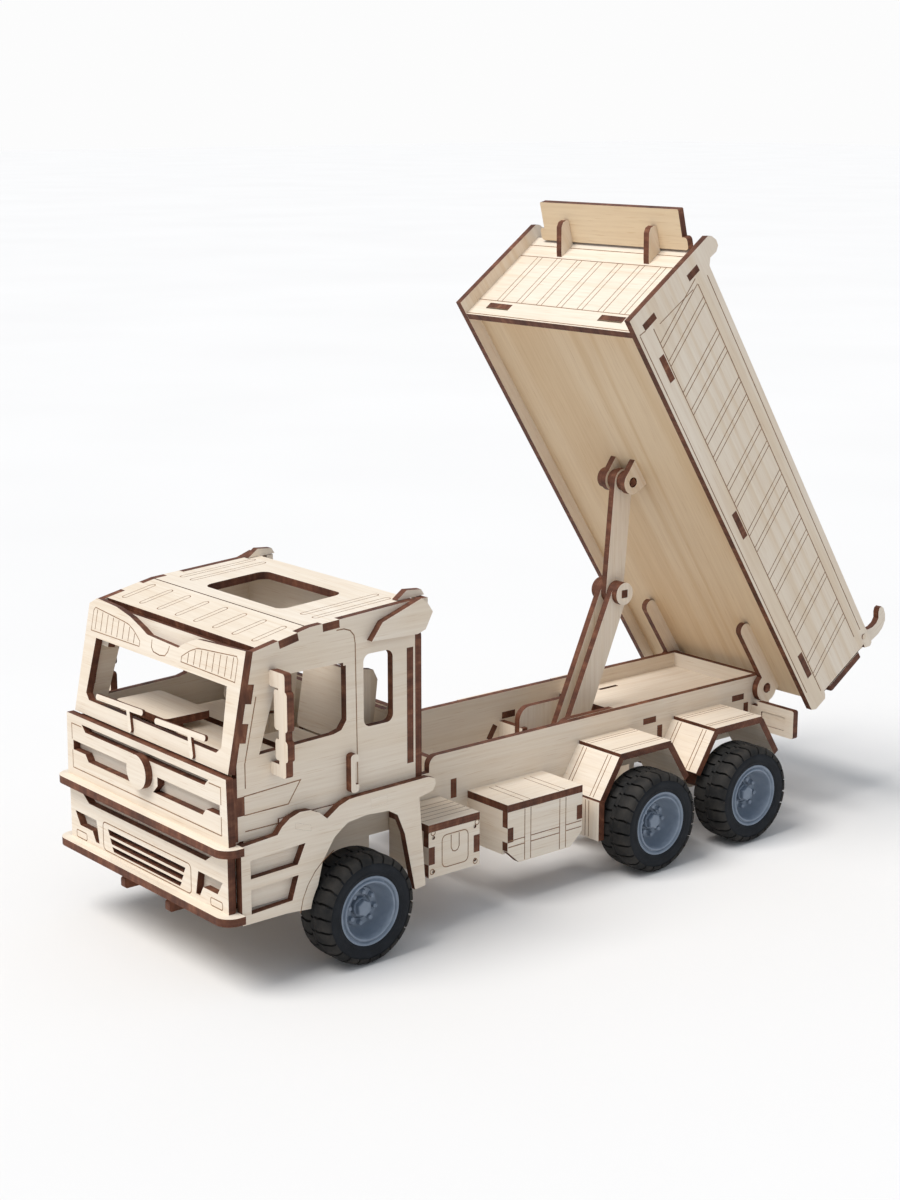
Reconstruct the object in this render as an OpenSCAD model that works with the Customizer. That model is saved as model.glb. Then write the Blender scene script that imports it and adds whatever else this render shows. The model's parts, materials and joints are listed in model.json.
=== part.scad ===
// Laser-cut plywood tipper truck, millimetres.
// +X is the nose, +Y the left side, +Z up, ground at z = 0.
// Every plate is a separate piece. Tabs end flush in the slots of their mates.

/* [Sheet and fits] */
// plywood sheet thickness
ply = 3; // [2.9:0.05:3.1]
// gap between a moving pin and its hole, on the radius
run_gap = 0.06; // [0.03:0.01:0.1]
// gap left round a tab in its slot
tab_gap = 0.02; // [0.01:0.01:0.05]

/* [Chassis] */
// outer face of each chassis rail, from the middle plane
rail_y = 27.3; // [27:0.1:27.5]
// top edge of the rails
rail_top = 59.4; // [59:0.1:59.5]
// lower edge of the rails
rail_low = 34; // [33:0.5:35]
// rear end of the rails
rail_rear_x = -160; // [-160:0.5:-158]
// top face of the tray floor
tray_z = 52.8; // [52.5:0.1:53]

/* [Wheels] */
// tyre outside radius
tyre_r = 21; // [20:0.1:21.2]
// tyre width
tyre_w = 17.5; // [16:0.1:18]
// outer side of the tyres
tyre_y = 64.4; // [64:0.1:65]
// rim radius where the tyre sits
rim_r = 12.6; // [12:0.1:13]
// front axle position
axle_front_x = 95.4; // [95:0.1:96]
// middle axle position
axle_mid_x = -54.7; // [-55:0.1:-54.5]
// spacing of the two rear axles
axle_gap = 56; // [55.8:0.1:56.2]
// axle dowel radius
axle_r = 2; // [1.8:0.1:2.2]

/* [Mudguards] */
// top face of the mudguards
guard_z = 50.4; // [50:0.1:50.6]
// outer edge of the mudguards
guard_y = 52; // [51:0.1:52.5]

/* [Side boxes] */
// outer face of the fuel tank
tank_y = 51.7; // [51:0.1:52]
// top face of the fuel tank
tank_top = 41.6; // [41:0.1:42]
// front end of the fuel tank
tank_x1 = 18.3; // [18:0.1:19]
// rear end of the fuel tank
tank_x0 = -21.7; // [-22:0.1:-21]
// outer face of the battery box
batt_y = 52.2; // [51.5:0.1:52.4]
// top face of the battery box
batt_top = 42.5; // [42:0.1:43]

/* [Cab] */
// outer face of the cab sides
cab_y = 52.5; // [52.3:0.1:52.6]
// lower edge of the cab sides
cab_low = 56; // [55.8:0.1:56.2]
// front edge of the cab sides below the windscreen
cab_front_x = 145; // [144.9:0.1:145.1]
// rear edge of the cab sides
cab_rear_x = 65.1; // [65:0.1:65.2]
// lean of the windscreen plate from upright, degrees
front_lean = 11.3; // [11.2:0.1:11.4]
// roof seam position
seam_x = 112.7; // [112:0.1:113]
// roof height at the seam
seam_z = 128.6; // [128.5:0.1:128.7]
// slope of the front roof plate, degrees
roof_front_slope = 11.6; // [11.4:0.1:11.8]
// slope of the rear roof plate, degrees
roof_rear_slope = 3.5; // [3.3:0.1:3.7]
// outer face of the grille panel
grille_x = 151; // [150.9:0.1:151.1]

/* [Tipping bed] */
// bed tilt as shown, degrees above level
tilt = 56.7; // [50:0.1:58]
// tipping hinge, along the truck
hinge_x = -154.3; // [-155:0.1:-154]
// tipping hinge height
hinge_z = 53.7; // [53.5:0.1:54]
// outer face of the bed sides
bed_y = 52.5; // [52:0.1:53]
// length of the bed sides along their lower edge
bed_len = 213.4; // [212:0.1:215]
// height of the bed sides
bed_h = 46.4; // [45:0.1:48]
// underside of the bed floor above the lower edge of the sides
floor_h = 5.3; // [5.2:0.1:5.5]

/* [Folding prop] */
// distance from knee to upper pivot
upper_len = 48.3; // [48:0.1:48.6]
// distance from knee to foot
lower_len = 67.3; // [67:0.1:67.6]
// radius of the pivot dowels
pin_r = 2.2; // [2:0.1:2.3]
// half width of the upper arm
upper_half_w = 5.2; // [5:0.1:5.4]

/* [Hidden] */
$fn = 64;
shift_x = 28.41;
eps = 0.01;
big = 400;
rail_in = rail_y - ply;
axle_rear_x = axle_mid_x - axle_gap;
axle_z = tyre_r + 0.05;
// bed frame: a runs forward along the lower edge, h runs up from it
hinge_a = 7.9;
hinge_h = -1;
bed_x0 = hinge_x - hinge_a * cos(tilt) + hinge_h * sin(tilt);
bed_z0 = hinge_z - hinge_a * sin(tilt) - hinge_h * cos(tilt);
// upper pivot of the prop in the bed frame
pivot_a = 124;
pivot_h = -0.6;
pivot_x = bed_x0 + pivot_a * cos(tilt) - pivot_h * sin(tilt);
pivot_z = bed_z0 + pivot_a * sin(tilt) + pivot_h * cos(tilt);
upper_dir = -85;
lower_dir = -66.1;
knee_x = pivot_x + upper_len * cos(upper_dir);
knee_z = pivot_z + upper_len * sin(upper_dir);
foot_x = knee_x + lower_len * cos(lower_dir);
foot_z = knee_z + lower_len * sin(lower_dir);
pin_hole = pin_r + run_gap;
tan_l = tan(front_lean);
// inner plane of the front frame meets the cab side at this height
knuckle_z = 84;
window_r = 3;
hub_y = tyre_y - tyre_w;

// ---------- placing helpers ----------

// the whole model is centred on its bounding box
module place() {
  translate([shift_x, 0, 0]) children();
}

// plate in the XZ plane, from y0 towards +Y
module xz(y0, t = ply) {
  translate([0, y0 + t, 0]) rotate([90, 0, 0]) linear_extrude(t) children();
}

// plate in the YZ plane, from x0 towards +X
module yz(x0, t = ply) {
  translate([x0, 0, 0]) rotate([90, 0, 90]) linear_extrude(t) children();
}

// plate in the XY plane, from z0 up
module xy(z0, t = ply) {
  translate([0, 0, z0]) linear_extrude(t) children();
}

module both_sides() {
  children();
  mirror([0, 1, 0]) children();
}

// bed frame to truck frame
module in_bed() {
  translate([bed_x0, 0, bed_z0]) rotate([0, -tilt, 0]) children();
}

// windscreen frame: x is out of the plate, z is up along it
module in_front() {
  translate([cab_front_x, 0, knuckle_z]) rotate([0, -front_lean, 0]) children();
}

// rounded rectangle from corner to corner
module rrect(x0, y0, x1, y1, r) {
  translate([x0 + r, y0]) square([x1 - x0 - 2 * r, y1 - y0]);
  translate([x0, y0 + r]) square([x1 - x0, y1 - y0 - 2 * r]);
  for (x = [x0 + r, x1 - r]) {
    for (y = [y0 + r, y1 - r]) {
      translate([x, y]) circle(r, $fn = 48);
    }
  }
}

module box2(x0, y0, x1, y1) {
  translate([x0, y0]) square([x1 - x0, y1 - y0]);
}

// straight bar with round ends from one point to another
module bar2(x0, y0, x1, y1, r) {
  len = sqrt((x1 - x0) * (x1 - x0) + (y1 - y0) * (y1 - y0));
  translate([x0, y0]) rotate(atan2(y1 - y0, x1 - x0)) {
    translate([0, -r]) square([len, 2 * r]);
    circle(r);
    translate([len, 0]) circle(r);
  }
}

// dowel along Y
module dowel(x, z, y0, y1, r) {
  translate([x, y0, z]) rotate([-90, 0, 0]) cylinder(h = y1 - y0, r = r);
}

// ---------- chassis ----------

module rail_outline() {
  hanger_r = 5.5;
  difference() {
    union() {
      box2(rail_rear_x, rail_low, 38, hinge_z - 2);
      box2(hinge_x, rail_low, 38, rail_top - 4);
      box2(hinge_x, rail_low, 34, rail_top);
      translate([hinge_x, hinge_z]) circle(rail_top - hinge_z);
      translate([34, rail_top - 4]) circle(4);
      box2(30, rail_low, cab_front_x, cab_low - ply);
      // deeper web behind the front wheels
      box2(68, 24, 122, rail_low + 1);
      for (x = [axle_front_x, axle_mid_x, axle_rear_x]) {
        translate([x, axle_z]) circle(hanger_r);
        polygon([[x - hanger_r, axle_z], [x + hanger_r, axle_z], [x + 12, rail_low + 1], [x - 12, rail_low + 1]]);
      }
    }
    for (x = [axle_front_x, axle_mid_x, axle_rear_x]) {
      translate([x, axle_z]) circle(axle_r);
    }
    // slots for the tray floor tabs
    for (x = [-87.7, -143]) {
      box2(x, tray_z - ply - tab_gap, x + 7.7, tray_z - tray_step + tab_gap);
    }
    translate([hinge_x, hinge_z]) circle(pin_r);
    // slots for the mudguard tabs
    for (s = [0, -axle_gap]) {
      guard_slots(s);
    }
    // slots for the fuel tank tops
    box2(-6.2, tank_top - ply - tab_gap, -0.8, tank_top + tab_gap);
    // slots for the cross plates
    for (x = cross_x) {
      box2(x - tab_gap, rail_low + 6, x + ply + tab_gap, rail_low + 14);
    }
  }
}

// tabs of the tray floor sit this much under its face
tray_step = 0.3;
cross_x = [126, 52, 24, -91.6, -146];

module guard_slots(s) {
  box2(-52.6 + s, guard_z - ply - tab_gap, -45 + s, guard_z + tab_gap);
  translate([-42.6 + s, guard_z]) rotate(-57.4) box2(5, -ply - tab_gap, 12, tab_gap);
}

module chassis_rails() {
  color("BurlyWood") both_sides() xz(rail_in) rail_outline();
}

module cross_plates() {
  color("BurlyWood") for (x = cross_x) {
    top = x > 60 ? cab_low - ply - 2 : (x < -90 ? tray_z - ply : rail_top - 6);
    yz(x) {
      box2(-rail_in, rail_low + 2, rail_in, top);
      box2(-rail_y, rail_low + 6 + tab_gap, rail_y, rail_low + 14 - tab_gap);
    }
  }
}

module tray_floor() {
  color("BurlyWood") difference() {
    union() {
      xy(tray_z - ply) box2(-151.6, -rail_in, -79, rail_in);
      for (x = [-87.7, -143]) {
        xy(tray_z - ply, ply - tray_step) box2(x + tab_gap, -rail_y, x + 7.7 - tab_gap, rail_y);
      }
    }
    // two slots seen in the far half of the floor
    xy(tray_z - ply - 1, ply + 2) box2(-108, -18.6, -97, -16.6);
    xy(tray_z - ply - 1, ply + 2) box2(-108, 16.6, -97, 18.6);
  }
}

module tray_rear_wall() {
  color("BurlyWood") yz(-154.6) box2(-rail_in, 46.5, rail_in, rail_top);
}

module light_bars() {
  color("BurlyWood") both_sides() difference() {
    yz(-151) difference() {
      rrect(rail_y, 35.8, 52.2, 48.6, 1);
      box2(rail_y - 1, 46.4, 31.2, 50);
    }
    // two shallow lamp windows
    yz(-151 + ply - 0.5, 1) rrect(33.5, 38.6, 47.4, 44.8, 0.8);
  }
}

// slotted cheeks that guide the foot of the prop
module prop_base() {
  cheek_y = 11;
  pass = 5.3;
  color("BurlyWood") difference() {
    union() {
      both_sides() xz(cheek_y) {
        difference() {
          union() {
            box2(-75, 12, -43.4, 49.4);
            box2(-75, 12, -49.4, 55.4);
            translate([-49.4, 49.4]) circle(6);
            translate([-75, 9]) box2(8, 0, 23, 4);
          }
          translate([foot_x, foot_z]) circle(pin_hole);
          polygon([
            [foot_x - pin_hole, foot_z], [foot_x + pin_hole, foot_z],
            [foot_x + pass + 0.6, foot_z - 10], [foot_x + pass + 0.6, foot_z - 24],
            [foot_x + 2.4, foot_z - 28.4], [foot_x - 2, foot_z - 28.4],
            [foot_x - pass + 0.4, foot_z - 24], [foot_x - pass + 0.4, foot_z - 8]
          ]);
        }
      }
    }
  }
  // cross plates that carry the cheeks between the rails
  color("BurlyWood") for (x = [-46.4, -78]) {
    difference() {
      yz(x) box2(-rail_in, x > -60 ? 18.5 : 22, rail_in, x > -60 ? 46.8 : tray_z - ply);
      // room for the arms between the cheeks
      if (x > -60) {
        yz(x - 1, ply + 2) box2(-9.2, 23.2, 9.2, big);
        both_sides() xz(cheek_y - tab_gap, ply + 2 * tab_gap) box2(x - 1, 17.5, x + ply + 1, 60);
      }
    }
  }
}

// fixed axle dowels, the middle pair are short stubs clear of the prop
module axles() {
  end_y = hub_y + 12.6;
  color("Peru") {
    dowel(axle_front_x, axle_z, -end_y, end_y, axle_r);
    dowel(axle_rear_x, axle_z, -end_y, end_y, axle_r);
    both_sides() dowel(axle_mid_x, axle_z, rail_in, end_y, axle_r);
    // spacer sleeves between rail and wheel
    for (x = [axle_front_x, axle_mid_x, axle_rear_x]) {
      both_sides() difference() {
        dowel(x, axle_z, rail_y, hub_y - 0.3, 4);
        dowel(x, axle_z, rail_y - 1, hub_y, axle_r);
      }
    }
  }
}

// ---------- mudguards ----------

module guard_set() {
  slope = -57.4;
  run = 20.9;
  y_in = rail_y;
  // top plate
  xy(guard_z - ply) box2(-71.8, y_in, -42.6, guard_y);
  xy(guard_z - ply) box2(-52.6 + tab_gap, rail_in, -45 - tab_gap, y_in + eps);
  // front and rear slopes, meeting the top plate on its lower edge
  translate([-42.6, 0, guard_z]) rotate([0, -slope, 0]) xy(-ply) box2(1.4, y_in, run, guard_y);
  translate([-42.6, 0, guard_z]) rotate([0, -slope, 0]) xy(-ply) box2(5 + tab_gap, rail_in, 12 - tab_gap, y_in + eps);
  translate([-71.8, 0, guard_z]) rotate([0, 180 + slope, 0]) mirror([0, 0, 1]) xy(-ply) box2(1.4, y_in, run, guard_y);
}

module mudguards() {
  color("BurlyWood") both_sides() {
    guard_set();
    translate([-axle_gap, 0, 0]) guard_set();
    // upright plate under the foremost slope
    yz(-33.2) box2(41.4, 15.8, 52.6, 32.4);
  }
}

// ---------- side boxes ----------

module tank_section() {
  polygon([[tank_x0, 22.2], [tank_x0 + 6.4, 16.8], [tank_x1 - 6, 16.8], [tank_x1, 22.2], [tank_x1, tank_top - ply], [tank_x0, tank_top - ply]]);
}

module fuel_tanks() {
  inner = rail_y;
  color("BurlyWood") both_sides() {
    // top plate with rail tab
    xy(tank_top - ply) box2(tank_x0, inner, tank_x1, tank_y);
    xy(tank_top - ply) box2(-6.2 + tab_gap, rail_in, -0.8 - tab_gap, inner + eps);
    // outer plate with chamfered lower corners and finger notches
    difference() {
      xz(tank_y - ply) tank_section();
      xz(tank_y - ply - 1, ply + 2) box2(tank_x1 - ply - tab_gap, 26 - tab_gap, tank_x1 + 1, 32 + tab_gap);
      xz(tank_y - ply - 1, ply + 2) box2(tank_x0 - 1, 27.5 - tab_gap, tank_x0 + ply + tab_gap, 33.5 + tab_gap);
    }
    // end plates with tabs through the outer plate
    yz(tank_x1 - ply) box2(inner, 20.5, tank_y - ply, tank_top - ply);
    yz(tank_x1 - ply) box2(inner, 26, tank_y, 32);
    yz(tank_x0) box2(inner, 20.5, tank_y - ply, tank_top - ply);
    yz(tank_x0) box2(inner, 27.5, tank_y, 33.5);
    // inner closing plate against the rail
    xz(inner, ply) box2(tank_x0 + ply, 20.5, tank_x1 - ply, tank_top - ply);
  }
}

module battery_boxes() {
  x0 = 33.2;
  x1 = 58.6;
  z0 = 21.1;
  inner = rail_y + 0.6;
  color("BurlyWood") both_sides() {
    xy(batt_top - ply) box2(x0, inner, x1, batt_y);
    difference() {
      xz(batt_y - ply) rrect(x0, z0, x1, batt_top - ply, 0.6);
      xz(batt_y - ply - 1, ply + 2) box2(x1 - ply - tab_gap, 26.5 - tab_gap, x1 + 1, 33.5 + tab_gap);
      xz(batt_y - ply - 1, ply + 2) box2(x0 - 1, 26.5 - tab_gap, x0 + ply + tab_gap, 33.5 + tab_gap);
      // four small screw holes
      for (x = [x0 + 2.4, x1 - 2.4]) {
        for (z = [z0 + 2.4, batt_top - ply - 2.4]) {
          dowel(x, z, batt_y - 0.8, batt_y + 1, 0.75);
        }
      }
    }
    for (x = [x0, x1 - ply]) {
      yz(x) box2(inner, z0, batt_y - ply, batt_top - ply);
      yz(x) box2(inner, 26.5, batt_y, 33.5);
    }
    xz(inner, ply) box2(x0 + ply, z0, x1 - ply, batt_top - ply);
    xz(rail_y, inner - rail_y) box2(x0 + 6, 36, x1 - 6, batt_top - 4);
  }
}

// ---------- cab ----------

function front_x(z) = cab_front_x - (z - knuckle_z) * tan_l;
function roof_z(x) = x > seam_x ? seam_z - (x - seam_x) * tan(roof_front_slope) : seam_z + (seam_x - x) * tan(roof_rear_slope);

// two finger tabs of each roof plate reach through the side
roof_tabs = [[118.1, 126.3], [99.7, 107.1]];

module side_outline() {
  zt = roof_z(137);
  polygon([
    [cab_rear_x, cab_low], [cab_front_x, cab_low], [cab_front_x, knuckle_z],
    [front_x(zt), zt], [seam_x, seam_z], [cab_rear_x, roof_z(cab_rear_x)]
  ]);
}

module side_openings() {
  // door window
  difference() {
    polygon([[135.4, 86.2], [126.8, 113.2], [97, 113.2], [97, 91.5], [99.4, 88.2], [103, 87.3]]);
    box2(96, 112, 98.2, 114);
  }
  // rear side window
  rrect(75.6, 87.2, 89.1, 114.6, window_r);
  // slot of the rear wall
  box2(66 - tab_gap, 69.4 - tab_gap, 69 + tab_gap, 113.8 + tab_gap);
  // slot of the grille backing
  box2(142, 65.2 - tab_gap, cab_front_x + 1, 72.2 + tab_gap);
}

// one block in the plane of a roof plate, grown by a gap
module roof_tab(t, slope, gap, up = 0) {
  k = cos(slope);
  translate([seam_x, 0, seam_z]) rotate([0, slope, 0]) {
    xy(-ply - gap, ply + gap + up) box2((t[0] - seam_x) / k - gap, -cab_y - gap, (t[1] - seam_x) / k + gap, cab_y + gap);
  }
}

module cab_side() {
  difference() {
    xz(cab_y - ply) difference() {
      side_outline();
      side_openings();
    }
    roof_tab(roof_tabs[0], roof_front_slope, tab_gap, 5);
    roof_tab(roof_tabs[1], roof_rear_slope, tab_gap, 5);
    // finger notches for the front frame
    in_front() for (s = [8, 22]) {
      yz(-ply + 0.5, ply) box2(cab_y - ply - 1, s, cab_y + 1, s + 7);
    }
  }
}

module cab_side_left() {
  color("BurlyWood") cab_side();
}

module cab_side_right() {
  color("BurlyWood") mirror([0, 1, 0]) cab_side();
}

module rear_window() {
  rrect(-41, 87, 41, 112, window_r);
}

module cab_rear_wall() {
  color("BurlyWood") yz(66) difference() {
    union() {
      box2(-cab_y + ply, cab_low + ply, cab_y - ply, roof_z(66) - ply - 0.8);
      box2(-cab_y, 69.4, cab_y, 113.8);
    }
    rear_window();
  }
}

module cab_rear_panel() {
  color("BurlyWood") yz(cab_rear_x - ply) difference() {
    rrect(-cab_y, 62.4, cab_y, 119, 1.5);
    rear_window();
    // open at the top, so that the canopy of the lowered bed can pass
    box2(-43, 106, 43, big);
  }
}

module cab_floor() {
  color("BurlyWood") xy(cab_low) box2(69, -cab_y + ply, 144.9, cab_y - ply);
  // strip that rests on the rails
  color("BurlyWood") xy(cab_low - ply) box2(69, -rail_y, 141, rail_y);
}

// heights along the leaning plate

module front_frame() {
  w = 52.4;
  s_low = -3.2;
  color("BurlyWood") in_front() difference() {
    yz(0) difference() {
      union() {
        polygon([
          [-w, s_low], [w, s_low], [w, 40.6], [22, 39], [17.5, 37.2], [13.2, 35.2], [11.2, 33.7],
          [-10, 34.5], [-14.5, 36.2], [-23, 38.8], [-33, 40.6], [-w + 5, 41.4], [-w, 38.6]
        ]);
      }
      // windscreen
      polygon([[-43.5, 2.6], [43.5, 2.6], [46.2, 5], [44.4, 26.6], [-44.4, 26.6], [-46.2, 5]]);
    }
  }
  // fingers let into the cab sides
  color("BurlyWood") in_front() both_sides() for (s = [8, 22]) {
    yz(-ply + 0.5 + tab_gap, ply - tab_gap) box2(cab_y - ply + tab_gap, s + tab_gap, w, s + 7 - tab_gap);
  }
}

module upper_front_plate() {
  color("BurlyWood") in_front() difference() {
    yz(-ply) box2(-49.4, 24, 49.4, 39.4);
    yz(-ply - 1, ply + 2) box2(-40, 23, 40, 27.6);
  }
}

module roof_front() {
  k = cos(roof_front_slope);
  color("BurlyWood") {
    translate([seam_x, 0, seam_z]) rotate([0, roof_front_slope, 0]) xy(-ply) box2(0.5, -49.4, 21.5 / k, 49.4);
    roof_tab(roof_tabs[0], roof_front_slope, 0);
  }
}

module roof_rear() {
  k = cos(roof_rear_slope);
  color("BurlyWood") difference() {
    union() {
      translate([seam_x, 0, seam_z]) rotate([0, roof_rear_slope, 0]) xy(-ply) box2((cab_rear_x - seam_x) / k, -49.4, 0, 49.4);
      roof_tab(roof_tabs[1], roof_rear_slope, 0);
    }
    // sunroof
    translate([seam_x, 0, seam_z]) rotate([0, roof_rear_slope, 0]) xy(-ply - 1, ply + 2) rrect(-35.2, -25.6, -6.6, 25.6, 4);
  }
}

module grille_panel() {
  color("BurlyWood") difference() {
    yz(grille_x - ply) difference() {
      polygon([[-55.4, 56], [55.4, 56], [54.6, 80.7], [-54.6, 80.7]]);
      // thin upper slot with raked ends
      polygon([[-43.6, 78], [-41, 75.4], [41, 75.4], [43.6, 78]]);
      // two wide lower openings either side of the disc
      both_raked();
    }
  }
}

module both_raked() {
  for (m = [0, 1]) {
    mirror([m, 0]) polygon([[9.8, 70.4], [50.4, 70.4], [50.4, 66.6], [41.6, 66.6], [39.4, 64], [6.6, 64], [9.8, 67]]);
  }
}

module nose_backings() {
  back = cab_front_x;
  color("BurlyWood") {
    // backing behind the grille, with ears let into the cab sides
    yz(back) box2(-cab_y, cab_low, cab_y, 79.4);
    yz(back - ply) box2(-47.4, 60, 47.4, 77);
    both_sides() yz(142 + tab_gap, ply - tab_gap + eps) box2(cab_y - ply - 4, 65.2 + tab_gap, cab_y, 72.2 - tab_gap);
    // backing behind the bumper panel
    yz(back) box2(-50.4, 30.8, 50.4, 52.9);
  }
}

// plain round disc in place of a badge
module grille_disc() {
  color("BurlyWood") translate([grille_x, 0, 70.6]) rotate([0, 90, 0]) {
    cylinder(h = ply, r = 6.6);
  }
}

module shelf_outline() {
  half = 59;
  nose = 155.4;
  r = 6;
  difference() {
    union() {
      box2(142, -half + r, nose, half - r);
      box2(142, -half, nose - r, half);
      for (y = [-half + r, half - r]) {
        translate([nose - r, y]) circle(r);
      }
    }
    // corners cut back round the step panels
    box2(100, 53.2, 146.9, 80);
    box2(100, -80, 146.9, -53.2);
  }
}

module bumper_shelves() {
  color("BurlyWood") {
    xy(cab_low - ply) difference() {
      shelf_outline();
      box2(100, -60, 145, 60);
    }
    xy(27.7) shelf_outline();
  }
}

module bumper_slats() {
  polygon([[-27, 40.6], [27, 40.6], [25.8, 38.4], [-25.8, 38.4]]);
  polygon([[-25.6, 37.4], [25.6, 37.4], [24.4, 35.2], [-24.4, 35.2]]);
  polygon([[-24.2, 34.2], [24.2, 34.2], [23, 32.4], [-23, 32.4]]);
}

module bumper_panel() {
  color("BurlyWood") yz(grille_x - ply) difference() {
    box2(-54.4, 30.7, 54.4, 53);
    polygon([[-46, 51], [-40.4, 47.2], [40.4, 47.2], [46, 51]]);
    bumper_slats();
    for (m = [0, 1]) {
      mirror([m, 0]) polygon([[51, 41.8], [35.4, 41.8], [33.6, 32.8], [36.2, 32.8], [38.4, 36.6], [47.6, 36.6]]);
    }
  }
}

// ---------- step panels ----------

module step_outline() {
  difference() {
    union() {
      polygon([
        [146.6, 26.1], [146.6, 55.4], [131, 56.5], [129, 59], [125.5, 61.5], [121, 62.9], [116.5, 62.6],
        [112.5, 60.8], [109.1, 57.8], [103.5, 61.4], [99.1, 62.9], [95.8, 63.1], [62, 63.7], [58.9, 62.6], [58.4, 60.4], [60, 57.8],
        [66.4, 56.6], [63.6, 21.2], [68.6, 20.6], [127.2, 26.1]
      ]);
    }
    // wheel arch
    polygon([
      [115.6, 0], [115.4, 26.6], [111.4, 41.8], [105.9, 50], [99.9, 54.2], [91.1, 55.2], [80.9, 54.5],
      [76.8, 52], [73.4, 43.8], [68.6, 20.4], [68.6, 0]
    ]);
    // clear of the tyre
    translate([axle_front_x, axle_z]) circle(tyre_r + 0.9);
    // two step openings
    polygon([[142.7, 49.6], [118.9, 50.8], [122.4, 43.4], [142.7, 42.7]]);
    polygon([[142.7, 38.6], [122.1, 39.4], [125, 30.4], [142.7, 29.6]]);
    // tab slots
    polygon([[123.2, 59.4], [116.3, 57], [116.3, 54.7], [123.2, 57]]);
    box2(81.7, 57.6, 89.1, 60.8);
  }
}

module step_panels() {
  color("BurlyWood") both_sides() xz(53.4) step_outline();
}

module step_backings() {
  color("BurlyWood") both_sides() {
    // backing plates behind the step openings
    xz(50.4) box2(117.4, 30.8, 144.9, 52.9);
    // spacer between cab side and step panel
    xz(cab_y, 53.4 - cab_y) box2(72, 57.2, 128, 61);
    // tabs that end flush in the step panels
    xz(53.4) box2(81.7 + tab_gap, 57.6 + tab_gap, 89.1 - tab_gap, 60.8 - tab_gap);
    xz(53.4) polygon([[123.17, 59.36], [116.33, 56.98], [116.33, 54.74], [123.17, 57.03]]);
  }
}

module wiper(y0) {
  // blade and slanted arm, lying on the windscreen plate
  yz(ply, 1.2) bar2(y0 - 15.5, 5.4, y0 + 15.5, 6.2, 1.1);
  yz(ply, 1.2) bar2(y0 + 6.2, 5.6, y0 + 9.6, -1.6, 1);
}

module wipers() {
  color("BurlyWood") in_front() {
    wiper(-20.5);
    wiper(21);
  }
}

module mirrors() {
  color("BurlyWood") both_sides() {
    // C-shaped bracket with two heads, standing out from the cab side
    translate([127.6, cab_y, 0]) rotate([0, 0, 0]) yz(0) difference() {
      union() {
        rrect(0, 110.6, 9.4, 116.4, 1.2);
        rrect(0, 78.4, 9.4, 83, 1.2);
        rrect(5.4, 78.4, 9.4, 116.4, 1.2);
        rrect(2.8, 95.4, 10.6, 110, 1.4);
        rrect(3.2, 84.4, 10.6, 92.2, 1.4);
      }
    }
  }
}

module door_handles() {
  color("BurlyWood") both_sides() xz(cab_y, ply) difference() {
    rrect(93.8, 64.4, 97.4, 79, 1.4);
    rrect(92, 67.4, 95.4, 76, 0.6);
  }
}

module fairing_shape() {
  polygon([[87.4, 119.8], [82.4, 126.2], [64.2, 132.4], [61.6, 130.4], [59, 126.6], [62.4, 120.4], [66, 119.2]]);
}

module roof_fairings() {
  color("BurlyWood") both_sides() {
    xz(cab_y) fairing_shape();
    // small cap piece on the roof corner
    xz(46.4) polygon([[71, 131.4], [66.4, 134.6], [59.6, 134], [58.2, 131.8], [62, 131.55]]);
    yz(59) box2(46.4, 124, cab_y + eps, 131.4);
  }
}

module dashboard() {
  color("BurlyWood") {
    xy(83.6) rrect(118, -40, 138, -4, 2);
    yz(120) box2(-38, cab_low + ply, 38, 78);
    xy(78) box2(117, -44, 134, 44);
    yz(128) box2(-36, 81, -8, 83.6);
  }
}

module seat() {
  // two curved side plates with seat and back boards
  for (y = [0, 27]) {
    xz(y) difference() {
      polygon([[78, 59], [104, 59], [106, 70], [103, 73], [90, 74], [88, 76], [84, 100], [80, 105], [75, 104], [73, 100], [76, 76]]);
      translate([94, 66]) circle(2.4);
    }
  }
  xy(74.2) box2(88.4, -1, 106, 31);
  translate([85.2, 0, 77.4]) rotate([0, -9.5, 0]) yz(0) rrect(-1, 0, 31, 27, 2);
}

module seats() {
  color("BurlyWood") {
    translate([0, 10, 0]) seat();
    translate([0, -40, 0]) seat();
  }
}

module skid_and_tow() {
  color("BurlyWood") {
    xy(24.7) polygon([[128, -24], [149, -21], [150.6, -17], [150.6, 17], [149, 21], [128, 24]]);
    xz(14) rrect(140, 20.6, 152, 24.7, 1);
    xz(-17) rrect(140, 20.6, 152, 24.7, 1);
    yz(141) box2(-20, 22, 20, 24.7);
    // hangers from the lower shelf to the rails
    for (s = [-1, 1]) {
      xz(s * (rail_in - ply / 2) - ply / 2) box2(129.1, 27.7, 141.9, rail_low + 10);
    }
  }
}

// dowels of the tipping hinge, tight in the rails
module hinge_pegs() {
  color("Sienna") both_sides() difference() {
    dowel(hinge_x, hinge_z, rail_in + tab_gap, rail_y + 3.9, pin_r);
    // squared end
    for (q = [0, 90, 180, 270]) {
      translate([hinge_x, rail_y + 3.2, hinge_z]) rotate([0, q, 0]) translate([1.5, 0, -5]) cube([5, 5, 10]);
    }
  }
}

// ---------- tipping bed ----------

bed_in = bed_y - ply;
floor_top = floor_h + ply;
side_slots = [[178.8, 191.2], [95.6, 109.3], [14, 27.5]];

module bed_side_outline() {
  union() {
    polygon([
      [-2.2, 2.4], [-0.4, 0], [bed_len, 0], [216, 52.6], [214.8, 54.4], [212, 55.8], [209.4, 55.6],
      [207.9, 53.4], [207.9, 49.4], [205.4, bed_h + 1], [-1.6, bed_h], [-2.4, 44.6], [-0.6, 41.6],
      [1.4, 41.6], [1.4, 10.8], [-0.4, 10.4], [-2.2, 9.4]
    ]);
  }
}

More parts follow.
